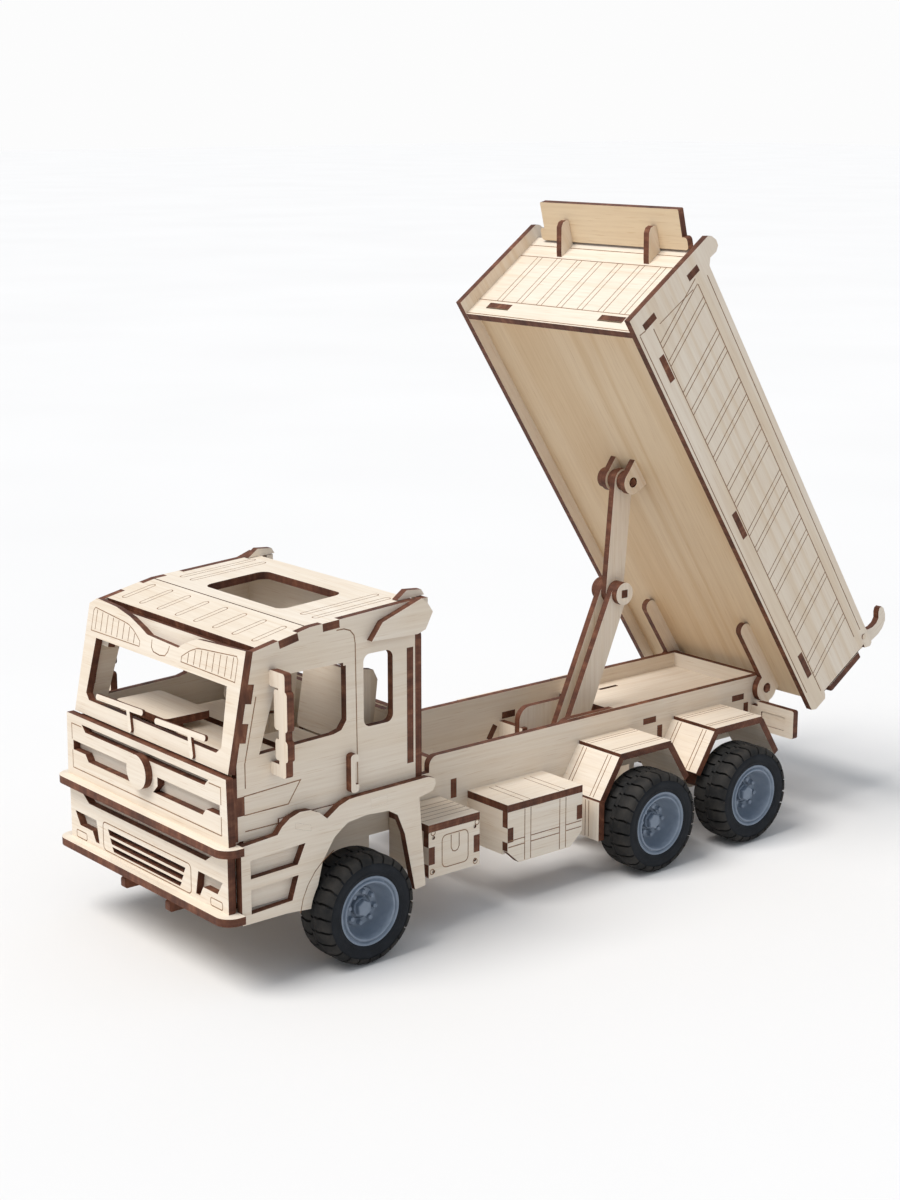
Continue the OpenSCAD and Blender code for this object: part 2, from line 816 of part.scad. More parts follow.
module bed_side() {
  xz(bed_in) difference() {
    bed_side_outline();
    for (s = side_slots) {
      box2(s[0] - tab_gap, floor_h - tab_gap, s[1] + tab_gap, floor_top + tab_gap);
    }
    // slots of the front wall tabs
    translate([wall_a, 0]) rotate(-wall_lean) for (s = wall_tabs) {
      box2(-tab_gap, s[0] - tab_gap, ply + tab_gap, s[1] + tab_gap);
    }
    // pivot holes of the tailgate
    translate([gate_a, gate_h]) circle(gate_pin_r + run_gap);
  }
}

// the front wall leans forward with the front edges of the sides
wall_a = 204.7;
wall_lean = 3.4;
wall_tabs = [[5, 12.7], [35, 42]];
floor_tab_y = 34;
gate_a = 4.6;
gate_h = 43.4;
gate_pin_r = 1.2;

module bed_side_left() {
  color("BurlyWood") in_bed() bed_side();
}

module bed_side_right() {
  color("BurlyWood") in_bed() mirror([0, 1, 0]) bed_side();
}

module bed_floor() {
  color("BurlyWood") in_bed() {
    xy(floor_h) box2(0, -bed_in, wall_a + 0.2, bed_in);
    for (s = side_slots) {
      xy(floor_h) box2(s[0] + tab_gap, -bed_y, s[1] - tab_gap, bed_y);
    }
    for (y = [-floor_tab_y, floor_tab_y]) {
      xy(floor_h) box2(wall_a, y - 7 + tab_gap, wall_a + ply + 0.3, y + 7 - tab_gap);
    }
  }
}

// frame of the front wall: x is out of the plate, z is up along it
module in_wall() {
  in_bed() translate([wall_a, 0, 0]) rotate([0, wall_lean, 0]) children();
}

module bed_front_wall() {
  color("BurlyWood") in_wall() difference() {
    yz(0) difference() {
      union() {
        box2(-bed_in, 0.2, bed_in, 51);
        for (s = wall_tabs) {
          box2(-bed_y, s[0] + tab_gap, bed_y, s[1] - tab_gap);
        }
      }
      for (y = [-floor_tab_y, floor_tab_y]) {
        box2(y - 7 - tab_gap, floor_h - 0.6, y + 7 + tab_gap, floor_top + tab_gap);
      }
    }
  }
}

canopy_y = [-26, 26];
canopy_lean = 19.3;
// lower rear edge of the canopy board
canopy_a = 210.7;
canopy_h = 47.7;

module canopy_supports() {
  color("BurlyWood") in_bed() for (y = canopy_y) {
    xz(y - ply / 2) polygon([
      [210.06, 39.6], [211.9, 40.6], [220.6, 46.2], [221.8, 48], [221.6, 49.8], [220.6, 51.1], [canopy_a + 0.8, canopy_h + 0.28], [210.55, 47.8]
    ]);
  }
}

module canopy_board() {
  color("BurlyWood") in_bed() translate([canopy_a, 0, canopy_h + tab_gap]) rotate([0, -canopy_lean, 0]) {
    xy(0) rrect(1.1, -41, 17.8, 41, 0.6);
    xy(0) rrect(1.1, -43.6, 6.4, 43.6, 1.6);
  }
}

module hinge_bars() {
  bar_y = rail_y + 0.4;
  color("BurlyWood") in_bed() both_sides() xz(bar_y) difference() {
    union() {
      translate([hinge_a, hinge_h]) circle(6.3);
      box2(hinge_a, -1, 40.4, floor_h);
      translate([40.4, 2.15]) circle(3.15);
      box2(3, 0, 12, floor_h);
    }
    translate([hinge_a, hinge_h]) circle(pin_hole);
  }
}

module bracket_ears() {
  color("BurlyWood") in_bed() both_sides() xz(4.3) difference() {
    union() {
      translate([pivot_a, pivot_h]) circle(5.2);
      polygon([
        [118.2, floor_h], [131.6, floor_h], [pivot_a + 4.2, pivot_h - 3.05], [pivot_a - 2, pivot_h - 4.8],
        [pivot_a - 5.2, pivot_h]
      ]);
    }
    translate([pivot_a, pivot_h]) circle(pin_r);
  }
}

// dowel and washers of the upper pivot, carried by the bed
module bracket_pin() {
  color("Sienna") in_bed() {
    difference() {
      dowel(pivot_a, pivot_h, -10.6, 7.3, pin_r);
      for (q = [0, 90, 180, 270]) {
        translate([pivot_a, 6.1, pivot_h]) rotate([0, q, 0]) translate([1.5, 0, -5]) cube([5, 5, 10]);
      }
    }
    difference() {
      dowel(pivot_a, pivot_h, -10.3, -7.4, 4.3);
      dowel(pivot_a, pivot_h, -11, 0, pin_r);
    }
  }
}

module tailgate() {
  color("BurlyWood") in_bed() yz(-2.4) {
    box2(-bed_in + 0.4, floor_top + 0.3, bed_in - 0.4, 41.2);
    rrect(-bed_y, 14.4, bed_y, 37.6, 1);
  }
}

// curved horns that hang the tailgate, with their pivot dowels
module tailgate_hooks() {
  hook_y = bed_in - 0.4 - ply;
  color("BurlyWood") in_bed() both_sides() {
    xz(hook_y) polygon([
      [-2.4, 41.2], [0.6, 41.2], [0.6, 38], [4, 38], [8, 40.4], [8.2, 45.4], [4.4, 47.6], [2, 50], [0.7, 53],
      [0.5, 56], [1.5, 58.4], [4, 59.8], [5.1, 61.2], [4.9, 62.7], [3.3, 63.4], [0.2, 63], [-2.6, 61.4],
      [-4.3, 58.4], [-4.9, 54.6], [-4.4, 50], [-3.4, 45.6]
    ]);
    dowel(gate_a, gate_h, hook_y + ply - eps, bed_y + 0.4, gate_pin_r);
  }
}

// ---------- folding prop ----------

module prop_upper_arm() {
  color("BurlyWood") xz(-ply / 2) difference() {
    bar2(pivot_x, pivot_z, knee_x, knee_z, upper_half_w);
    translate([pivot_x, pivot_z]) circle(pin_hole);
    translate([knee_x, knee_z]) circle(pin_hole);
  }
  // washers either side of the eye
  color("BurlyWood") both_sides() xz(ply / 2, 2.5) difference() {
    translate([pivot_x, pivot_z]) circle(4.3);
    translate([pivot_x, pivot_z]) circle(pin_hole);
  }
}

module lower_arm_outline() {
  u = lower_dir;
  translate([knee_x, knee_z]) rotate(u) difference() {
    union() {
      circle(4.9);
      translate([lower_len, 0]) circle(5.6);
      polygon([[0, -4.9], [0, 4.9], [lower_len, 5.6], [lower_len, -5.6]]);
    }
    circle(pin_r);
    translate([lower_len, 0]) circle(pin_r);
  }
}

module prop_lower_arm() {
  color("BurlyWood") both_sides() xz(ply / 2 + 0.35) lower_arm_outline();
}

// knee dowel with square-ended washers, and the foot dowel
module prop_pins() {
  lap = ply / 2 + 0.35 + ply;
  color("Sienna") {
    dowel(knee_x, knee_z, -lap - 2.9, lap + 2.9, 1.6);
    dowel(knee_x, knee_z, -lap, lap, pin_r);
    both_sides() difference() {
      dowel(knee_x, knee_z, lap, lap + 2.9, 4.9);
      translate([knee_x - 1.75, lap - 1, knee_z - 1.75]) cube([3.5, 6, 3.5]);
    }
    both_sides() translate([knee_x - 1.6, lap, knee_z - 1.6]) cube([3.2, 2.8, 3.2]);
    dowel(foot_x, foot_z, -14.4, 14.4, pin_r);
  }
}

// ---------- wheels ----------

module tyre_body() {
  // section drawn as radius against width, turned about the axle
  shoulder = 2.2;
  difference() {
    rotate_extrude($fn = 96) polygon([
      [rim_r, 1.6], [rim_r + 1.6, 0.6], [tyre_r - 4, 0], [tyre_r - 1.4, shoulder - 0.6], [tyre_r - 1.2, shoulder + 1],
      [tyre_r - 1.2, tyre_w - shoulder - 1], [tyre_r - 1.4, tyre_w - shoulder + 0.6], [tyre_r - 4, tyre_w],
      [rim_r + 1.6, tyre_w - 0.6], [rim_r, tyre_w - 1.6]
    ]);
  }
  // two rows of lugs and a row of centre blocks
  for (i = [0:23]) {
    rotate(i * 15) translate([tyre_r - 2.4, -1.7, 0.9]) cube([2.4, 3.4, 5.4]);
    rotate(i * 15 + 7.5) translate([tyre_r - 2.4, -1.7, tyre_w - 6.3]) cube([2.4, 3.4, 5.4]);
    rotate(i * 15 + 3.7) translate([tyre_r - 2.4, -1.1, 6.9]) cube([2.4, 2.2, 3.7]);
  }
}

module rim_body() {
  nuts = 8;
  r_in = 7.6;
  difference() {
    union() {
      rotate_extrude($fn = 96) polygon([
        [axle_r + run_gap, 2], [6.4, 2], [6.4, 5], [r_in, 9], [r_in + 2.4, 9], [11.4, 1.2], [rim_r + 0.6, 0.9],
        [rim_r - eps, 1.6], [rim_r - eps, tyre_w - 1.6], [rim_r + 0.6, tyre_w - 0.7], [11.4, tyre_w - 0.7],
        [10.2, tyre_w - 5.4], [4.2, tyre_w - 5.4], [axle_r + run_gap, tyre_w - 5.4]
      ]);
      // hexagonal hub and ring of nuts
      translate([0, 0, tyre_w - 5.5]) cylinder(h = 4.3, r = 3.6, $fn = 6);
      for (i = [0:nuts - 1]) {
        rotate(i * 360 / nuts) translate([6.6, 0, tyre_w - 5.5]) cylinder(h = 1.3, r = 1, $fn = 6);
      }
    }
    translate([0, 0, -1]) cylinder(h = tyre_w - 3.4, r = axle_r + run_gap);
  }
}

// a wheel part stands on its axle, outer face towards +Y on the left
module at_wheel(x, side) {
  translate([x, side * hub_y, axle_z]) rotate([side * -90, 0, 0]) children();
}

module tyre_front_left() {
  color("DimGray") at_wheel(axle_front_x, 1) tyre_body();
}

module tyre_front_right() {
  color("DimGray") at_wheel(axle_front_x, -1) tyre_body();
}

module tyre_mid_left() {
  color("DimGray") at_wheel(axle_mid_x, 1) tyre_body();
}

module tyre_mid_right() {
  color("DimGray") at_wheel(axle_mid_x, -1) tyre_body();
}

module tyre_rear_left() {
  color("DimGray") at_wheel(axle_rear_x, 1) tyre_body();
}

module tyre_rear_right() {
  color("DimGray") at_wheel(axle_rear_x, -1) tyre_body();
}

module rim_front_left() {
  color("SlateGray") at_wheel(axle_front_x, 1) rim_body();
}

module rim_front_right() {
  color("SlateGray") at_wheel(axle_front_x, -1) rim_body();
}

module rim_mid_left() {
  color("SlateGray") at_wheel(axle_mid_x, 1) rim_body();
}

module rim_mid_right() {
  color("SlateGray") at_wheel(axle_mid_x, -1) rim_body();
}

module rim_rear_left() {
  color("SlateGray") at_wheel(axle_rear_x, 1) rim_body();
}

module rim_rear_right() {
  color("SlateGray") at_wheel(axle_rear_x, -1) rim_body();
}

// ---------- output ----------

place() chassis_rails();
place() cross_plates();
place() tray_floor();
place() tray_rear_wall();
place() light_bars();
place() prop_base();
place() axles();
place() mudguards();
place() fuel_tanks();
place() battery_boxes();
place() cab_side_left();
place() cab_side_right();
place() cab_rear_wall();
place() cab_rear_panel();
place() cab_floor();
place() front_frame();
place() upper_front_plate();
place() roof_front();
place() roof_rear();
place() grille_panel();
place() nose_backings();
place() grille_disc();
place() bumper_shelves();
place() bumper_panel();
place() step_panels();
place() step_backings();
place() wipers();
place() mirrors();
place() door_handles();
place() roof_fairings();
place() dashboard();
place() seats();
place() skid_and_tow();
place() hinge_pegs();
place() bed_floor();
place() bed_side_left();
place() bed_side_right();
place() bed_front_wall();
place() canopy_board();
place() canopy_supports();
place() hinge_bars();
place() bracket_ears();
place() bracket_pin();
place() tailgate();
place() tailgate_hooks();
place() prop_upper_arm();
place() prop_lower_arm();
place() prop_pins();
place() tyre_front_left();
place() tyre_front_right();
place() tyre_mid_left();
place() tyre_mid_right();
place() tyre_rear_left();
place() tyre_rear_right();
place() rim_front_left();
place() rim_front_right();
place() rim_mid_left();
place() rim_mid_right();
place() rim_rear_left();
place() rim_rear_right();
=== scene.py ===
import json
import math

import bmesh
import bpy
import numpy as np
from mathutils import Matrix, Vector


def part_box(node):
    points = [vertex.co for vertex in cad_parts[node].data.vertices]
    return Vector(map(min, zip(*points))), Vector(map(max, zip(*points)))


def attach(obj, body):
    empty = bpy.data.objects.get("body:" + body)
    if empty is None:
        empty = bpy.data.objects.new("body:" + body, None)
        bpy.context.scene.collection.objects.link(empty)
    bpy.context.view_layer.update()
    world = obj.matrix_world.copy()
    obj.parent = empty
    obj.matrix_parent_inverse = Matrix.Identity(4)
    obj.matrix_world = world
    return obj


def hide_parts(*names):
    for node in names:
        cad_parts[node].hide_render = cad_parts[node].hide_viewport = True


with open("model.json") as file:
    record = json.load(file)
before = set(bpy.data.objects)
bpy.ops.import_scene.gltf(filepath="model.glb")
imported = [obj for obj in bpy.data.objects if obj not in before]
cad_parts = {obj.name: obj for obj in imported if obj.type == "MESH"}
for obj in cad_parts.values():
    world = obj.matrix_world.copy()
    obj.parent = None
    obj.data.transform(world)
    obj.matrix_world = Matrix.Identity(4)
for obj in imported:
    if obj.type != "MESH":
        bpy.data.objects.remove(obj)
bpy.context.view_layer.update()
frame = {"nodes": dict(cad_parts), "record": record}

MM = 0.001
record = frame["record"]

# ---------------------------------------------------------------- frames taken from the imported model
nose_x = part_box("grille_panel")[1].x / MM
OX = nose_x - 151.0
TILT = math.radians(56.7)
WALL_LEAN = math.radians(3.4)
FRONT_LEAN = math.radians(11.3)


class Plane:
    """A flat drawing plane in millimetres: origin, two axes and the outward normal."""

    def __init__(self, origin, u, v, n):
        self.o = Vector(origin)
        self.u = Vector(u).normalized()
        self.v = Vector(v).normalized()
        self.n = Vector(n).normalized()

    def at(self, a, b, lift=0.0):
        return (self.o + self.u * a + self.v * b + self.n * lift) * MM


X, Y, Z = Vector((1, 0, 0)), Vector((0, 1, 0)), Vector((0, 0, 1))
BED_A = Vector((math.cos(TILT), 0, math.sin(TILT)))
BED_H = Vector((-math.sin(TILT), 0, math.cos(TILT)))
BED_O = Vector((-159.473 + OX, 0, 47.646))
WALL_N = BED_A * math.cos(WALL_LEAN) + BED_H * -math.sin(WALL_LEAN)
WALL_V = BED_H * math.cos(WALL_LEAN) + BED_A * math.sin(WALL_LEAN)
WALL_O = BED_O + BED_A * 204.7
FRONT_N = Vector((math.cos(FRONT_LEAN), 0, math.sin(FRONT_LEAN)))
FRONT_V = Vector((-math.sin(FRONT_LEAN), 0, math.cos(FRONT_LEAN)))
FRONT_O = Vector((145 + OX, 0, 84))


def side_plane(side, y):
    return Plane((OX, side * y, 0), X, Z, Y * side)


def nose_plane(x):
    return Plane((x + OX, 0, 0), Y, Z, X)


# ---------------------------------------------------------------- materials
def new_material(name):
    m = bpy.data.materials.new(name)
    m.use_nodes = True
    return m, m.node_tree.nodes, m.node_tree.links, m.node_tree.nodes["Principled BSDF"]


def add(nodes, kind, **values):
    n = nodes.new("ShaderNode" + kind)
    for k, v in values.items():
        setattr(n, k, v)
    return n


def ramp(nodes, stops):
    n = nodes.new("ShaderNodeValToRGB")
    r = n.color_ramp
    while len(r.elements) < len(stops):
        r.elements.new(0.5)
    for e, (pos, col) in zip(r.elements, stops):
        e.position = pos
        e.color = (*col, 1)
    return n


def mix(nodes, links, kind, factor, a, b):
    n = nodes.new("ShaderNodeMix")
    n.data_type = "RGBA"
    n.blend_type = kind
    if isinstance(factor, float):
        n.inputs["Factor"].default_value = factor
    else:
        links.new(factor, n.inputs["Factor"])
    links.new(a, n.inputs[6])
    if isinstance(b, tuple):
        n.inputs[7].default_value = (*b, 1)
    else:
        links.new(b, n.inputs[7])
    return n.outputs[2]


def board_coordinates(nodes, links, turn, stretch):
    """Object coordinates turned into the board's own frame, then squeezed along the grain."""
    tc = add(nodes, "TexCoord")
    info = add(nodes, "ObjectInfo")
    spread = add(nodes, "VectorMath", operation="SCALE")
    spread.inputs[0].default_value = (1.7, 2.3, 1.1)
    links.new(info.outputs["Random"], spread.inputs["Scale"])
    moved = add(nodes, "VectorMath", operation="ADD")
    turned = add(nodes, "Mapping")
    turned.inputs["Rotation"].default_value = turn
    links.new(tc.outputs["Object"], turned.inputs["Vector"])
    links.new(turned.outputs[0], moved.inputs[0])
    links.new(spread.outputs[0], moved.inputs[1])
    squeezed = add(nodes, "Mapping")
    squeezed.inputs["Scale"].default_value = stretch
    links.new(moved.outputs[0], squeezed.inputs["Vector"])
    return squeezed.outputs[0], turned.outputs[0], info.outputs["Random"]


def wood_face(name, turn, grain, figure=0.35, tone=(1.0, 1.0, 1.0), broad_scale=42):
    """Birch veneer: long soft streaks, a faint figure and short dark pores along one axis."""
    m, nodes, links, bsdf = new_material(name)
    stretch = [1.0, 1.0, 1.0]
    stretch[grain] = 0.03
    vec, plain, rnd = board_coordinates(nodes, links, turn, tuple(stretch))

    streak = add(nodes, "TexNoise")
    streak.inputs["Scale"].default_value = 900
    streak.inputs["Detail"].default_value = 4
    streak.inputs["Roughness"].default_value = 0.6
    links.new(vec, streak.inputs["Vector"])

    broad = add(nodes, "TexNoise")
    broad.inputs["Scale"].default_value = broad_scale
    broad.inputs["Detail"].default_value = 1.5
    broad.inputs["Distortion"].default_value = 0.5
    links.new(vec, broad.inputs["Vector"])
    rings = add(nodes, "Math", operation="MULTIPLY")
    rings.inputs[1].default_value = 52
    links.new(broad.outputs["Fac"], rings.inputs[0])
    wave = add(nodes, "Math", operation="SINE")
    links.new(rings.outputs[0], wave.inputs[0])

    pore = add(nodes, "TexNoise")
    pore.inputs["Scale"].default_value = 2600
    pore.inputs["Detail"].default_value = 1
    links.new(vec, pore.inputs["Vector"])

    blotch = add(nodes, "TexNoise")
    blotch.inputs["Scale"].default_value = 16
    blotch.inputs["Detail"].default_value = 3
    links.new(plain, blotch.inputs["Vector"])

    # tone scales the whole colour; on the bed floor and canopy board it is painted shade
    light = tuple(c * t for c, t in zip((0.845, 0.755, 0.64), tone))
    dark = tuple(c * t for c, t in zip((0.785, 0.68, 0.56), tone))
    base = ramp(nodes, [(0.32, dark), (0.62, light)])
    links.new(streak.outputs["Fac"], base.inputs["Fac"])
    lines = ramp(nodes, [(0.15, (1, 1, 1)), (0.95, (0.93, 0.885, 0.82))])
    links.new(wave.outputs[0], lines.inputs["Fac"])
    c1 = mix(nodes, links, "MULTIPLY", figure, base.outputs["Color"], lines.outputs["Color"])
    flecks = ramp(nodes, [(0.27, (0.78, 0.66, 0.54)), (0.35, (1, 1, 1))])
    links.new(pore.outputs["Fac"], flecks.inputs["Fac"])
    c2 = mix(nodes, links, "MULTIPLY", 0.5, c1, flecks.outputs["Color"])
    shade = ramp(nodes, [(0.32, (0.95, 0.915, 0.87)), (0.62, (1.0, 1.0, 1.0))])
    links.new(blotch.outputs["Fac"], shade.inputs["Fac"])
    c3 = mix(nodes, links, "MULTIPLY", 0.8, c2, shade.outputs["Color"])
    each = ramp(nodes, [(0.0, (0.955, 0.94, 0.92)), (1.0, (1.0, 1.0, 1.0))])
    links.new(rnd, each.inputs["Fac"])
    c4 = mix(nodes, links, "MULTIPLY", 0.8, c3, each.outputs["Color"])
    links.new(c4, bsdf.inputs["Base Color"])

    rough = add(nodes, "MapRange")
    rough.inputs["To Min"].default_value = 0.52
    rough.inputs["To Max"].default_value = 0.72
    links.new(streak.outputs["Fac"], rough.inputs["Value"])
    links.new(rough.outputs[0], bsdf.inputs["Roughness"])
    bump = add(nodes, "Bump")
    bump.inputs["Strength"].default_value = 0.18
    bump.inputs["Distance"].default_value = 0.00012
    links.new(streak.outputs["Fac"], bump.inputs["Height"])
    links.new(bump.outputs[0], bsdf.inputs["Normal"])
    bsdf.inputs["Specular IOR Level"].default_value = 0.32
    return m


def burnt_edge(name, thin, ply_weight=0.6):
    """Laser-cut edge: charred red-brown with the plies showing across the sheet's thickness."""
    m, nodes, links, bsdf = new_material(name)
    turn = thin.rotation_difference(Vector((0, 0, 1))).to_euler("XYZ")
    tc = add(nodes, "TexCoord")
    turned = add(nodes, "Mapping")
    turned.inputs["Rotation"].default_value = turn
    links.new(tc.outputs["Object"], turned.inputs["Vector"])
    split = add(nodes, "SeparateXYZ")
    links.new(turned.outputs[0], split.inputs[0])
    fine = add(nodes, "Mapping")
    fine.inputs["Scale"].default_value = (1, 1, 0.35)
    links.new(turned.outputs[0], fine.inputs["Vector"])

    burn = add(nodes, "TexNoise")
    burn.inputs["Scale"].default_value = 330
    burn.inputs["Detail"].default_value = 5
    burn.inputs["Roughness"].default_value = 0.62
    links.new(fine.outputs[0], burn.inputs["Vector"])
    wide = add(nodes, "TexNoise")
    wide.inputs["Scale"].default_value = 60
    wide.inputs["Detail"].default_value = 2
    links.new(turned.outputs[0], wide.inputs["Vector"])

    ply = add(nodes, "Math", operation="MULTIPLY")
    ply.inputs[1].default_value = 2 * math.pi / 0.00125
    links.new(split.outputs["Z"], ply.inputs[0])
    band = add(nodes, "Math", operation="SINE")
    links.new(ply.outputs[0], band.inputs[0])

    char, brown, amber = (0.075, 0.026, 0.014), (0.14, 0.052, 0.028), (0.27, 0.125, 0.070)
    base = ramp(nodes, [(0.30, char), (0.55, brown), (0.80, amber)])
    links.new(burn.outputs["Fac"], base.inputs["Fac"])
    plies = ramp(nodes, [(0.35, (0.72, 0.66, 0.62)), (0.95, (1.0, 1.0, 1.0))])
    links.new(band.outputs[0], plies.inputs["Fac"])
    c1 = mix(nodes, links, "MULTIPLY", ply_weight, base.outputs["Color"], plies.outputs["Color"])
    patches = ramp(nodes, [(0.35, (0.80, 0.78, 0.76)), (0.68, (1.45, 1.40, 1.34))])
    links.new(wide.outputs["Fac"], patches.inputs["Fac"])
    c2 = mix(nodes, links, "MULTIPLY", 0.8, c1, patches.outputs["Color"])
    links.new(c2, bsdf.inputs["Base Color"])
    bump = add(nodes, "Bump")
    bump.inputs["Strength"].default_value = 0.35
    bump.inputs["Distance"].default_value = 0.0002
    links.new(burn.outputs["Fac"], bump.inputs["Height"])
    links.new(bump.outputs[0], bsdf.inputs["Normal"])
    bsdf.inputs["Roughness"].default_value = 0.62
    bsdf.inputs["Specular IOR Level"].default_value = 0.28
    return m


def burnt_line():
    """Shallow engraving: toasted tan to brown, broken up along its length."""
    m, nodes, links, bsdf = new_material("engraved_line")
    tc = add(nodes, "TexCoord")
    n = add(nodes, "TexNoise")
    n.inputs["Scale"].default_value = 420
    n.inputs["Detail"].default_value = 4
    links.new(tc.outputs["Object"], n.inputs["Vector"])
    c = ramp(nodes, [(0.30, (0.17, 0.085, 0.045)), (0.70, (0.36, 0.215, 0.125))])
    links.new(n.outputs["Fac"], c.inputs["Fac"])
    links.new(c.outputs["Color"], bsdf.inputs["Base Color"])
    b = add(nodes, "Bump")
    b.inputs["Strength"].default_value = 0.3
    b.inputs["Distance"].default_value = 0.0001
    links.new(n.outputs["Fac"], b.inputs["Height"])
    links.new(b.outputs[0], bsdf.inputs["Normal"])
    bsdf.inputs["Roughness"].default_value = 0.8
    bsdf.inputs["Specular IOR Level"].default_value = 0.2
    return m


def moulded(name, low, high, rough, scale, bump_mm, strength, gloss):
    """Moulded rubber or plastic with a fine uneven skin."""
    m, nodes, links, bsdf = new_material(name)
    tc = add(nodes, "TexCoord")
    n = add(nodes, "TexNoise")
    n.inputs["Scale"].default_value = scale
    n.inputs["Detail"].default_value = 5
    links.new(tc.outputs["Object"], n.inputs["Vector"])
    wide = add(nodes, "TexNoise")
    wide.inputs["Scale"].default_value = scale / 9
    wide.inputs["Detail"].default_value = 2
    links.new(tc.outputs["Object"], wide.inputs["Vector"])
    c = ramp(nodes, [(0.32, low), (0.70, high)])
    links.new(wide.outputs["Fac"], c.inputs["Fac"])
    links.new(c.outputs["Color"], bsdf.inputs["Base Color"])
    r = add(nodes, "MapRange")
    r.inputs["To Min"].default_value = rough[0]
    r.inputs["To Max"].default_value = rough[1]
    links.new(n.outputs["Fac"], r.inputs["Value"])
    links.new(r.outputs[0], bsdf.inputs["Roughness"])
    b = add(nodes, "Bump")
    b.inputs["Strength"].default_value = strength
    b.inputs["Distance"].default_value = bump_mm * MM
    links.new(n.outputs["Fac"], b.inputs["Height"])
    links.new(b.outputs[0], bsdf.inputs["Normal"])
    bsdf.inputs["Specular IOR Level"].default_value = gloss
    return m


LEVEL = (0.0, 0.0, 0.0)
BED_TURN = (0.0, TILT, 0.0)
faces = {
    "truck_x": wood_face("birch_truck_x", LEVEL, 0),
    "truck_y": wood_face("birch_truck_y", LEVEL, 1),
    "truck_z": wood_face("birch_truck_z", LEVEL, 2),
    "bed_x": wood_face("birch_bed_x", BED_TURN, 0, 0.8, (0.985, 0.965, 0.94)),
    "bed_y": wood_face("birch_bed_y", BED_TURN, 1, 0.5),
    "bed_z": wood_face("birch_bed_z", BED_TURN, 2),
    # bed floor and canopy board: birch darkened and warmed all over, painted shade standing in for their
    # shaded undersides
    "tan_x": wood_face("birch_painted_shade_x", BED_TURN, 0, 1.0, (0.91, 0.81, 0.66), 18),
    "tan_y": wood_face("birch_painted_shade_y", BED_TURN, 1, 1.0, (0.90, 0.80, 0.645), 18),
}
edge_materials = {}
line_material = burnt_line()
dowel_material = burnt_edge("burnt_dowel", Vector((0, 1, 0)), 0.0)
plain_edge = burnt_edge("burnt_band", Vector((0, 0, 1)), 0.0)
rubber = moulded(
    "tyre_rubber", (0.007, 0.0085, 0.011), (0.014, 0.0165, 0.021),
    (0.55, 0.80), 1500, 0.08, 0.5, 0.22
)
tread_rubber = moulded(
    "tread_rubber", (0.012, 0.012, 0.012), (0.038, 0.034, 0.030),
    (0.62, 0.90), 1300, 0.14, 0.7, 0.25
)
grey_plastic = moulded(
    "rim_plastic", (0.185, 0.225, 0.285), (0.235, 0.28, 0.345),
    (0.40, 0.54), 2200, 0.04, 0.25, 0.4
)


def edge_material(thin):
    thin = thin.copy()
    if max(thin, key=abs) < 0:
        thin.negate()
    key = tuple(round(c, 2) for c in thin)
    if key not in edge_materials:
        edge_materials[key] = burnt_edge("burnt_edge_%d" % len(edge_materials), thin)
    return edge_materials[key]


# ---------------------------------------------------------------- ply faces and burnt edges on the CAD plates
def triangle_data(mesh):
    co = np.zeros(len(mesh.vertices) * 3)
    mesh.vertices.foreach_get("co", co)
    co = co.reshape(-1, 3)
    key = np.unique(np.round(co, 6), axis=0, return_inverse=True)[1].reshape(-1)
    polys = [tuple(int(key[i]) for i in p.vertices) for p in mesh.polygons]
    nrm = np.zeros(len(mesh.polygons) * 3)
    mesh.polygons.foreach_get("normal", nrm)
    area = np.zeros(len(mesh.polygons))
    mesh.polygons.foreach_get("area", area)
    pts = np.zeros((key.max() + 1, 3))
    pts[key] = co
    return polys, nrm.reshape(-1, 3), area, pts


class Groups:
    def __init__(self, n):
        self.p = list(range(n))

    def find(self, i):
        while self.p[i] != i:
            self.p[i] = self.p[self.p[i]]
            i = self.p[i]
        return i

    def join(self, a, b):
        a, b = self.find(a), self.find(b)
        if a != b:
            self.p[b] = a


def least_width(points, n, sides):
    """Smallest extent of a flat set of points, taken square to each of the given side directions."""
    n = n / np.linalg.norm(n)
    best, along = 1e9, None
    for side in sides:
        d = np.cross(n, side)
        size = np.linalg.norm(d)
        if size < 1e-7:
            continue
        d = d / size
        s = points @ d
        w = s.max() - s.min()
        if w < best:
            best, along = w, d
    return best, along


EDGE_WIDTH = 3.35 * MM
MEAN_EDGE_WIDTH = 3.3 * MM
SMALL_AREA = 14 * MM * MM


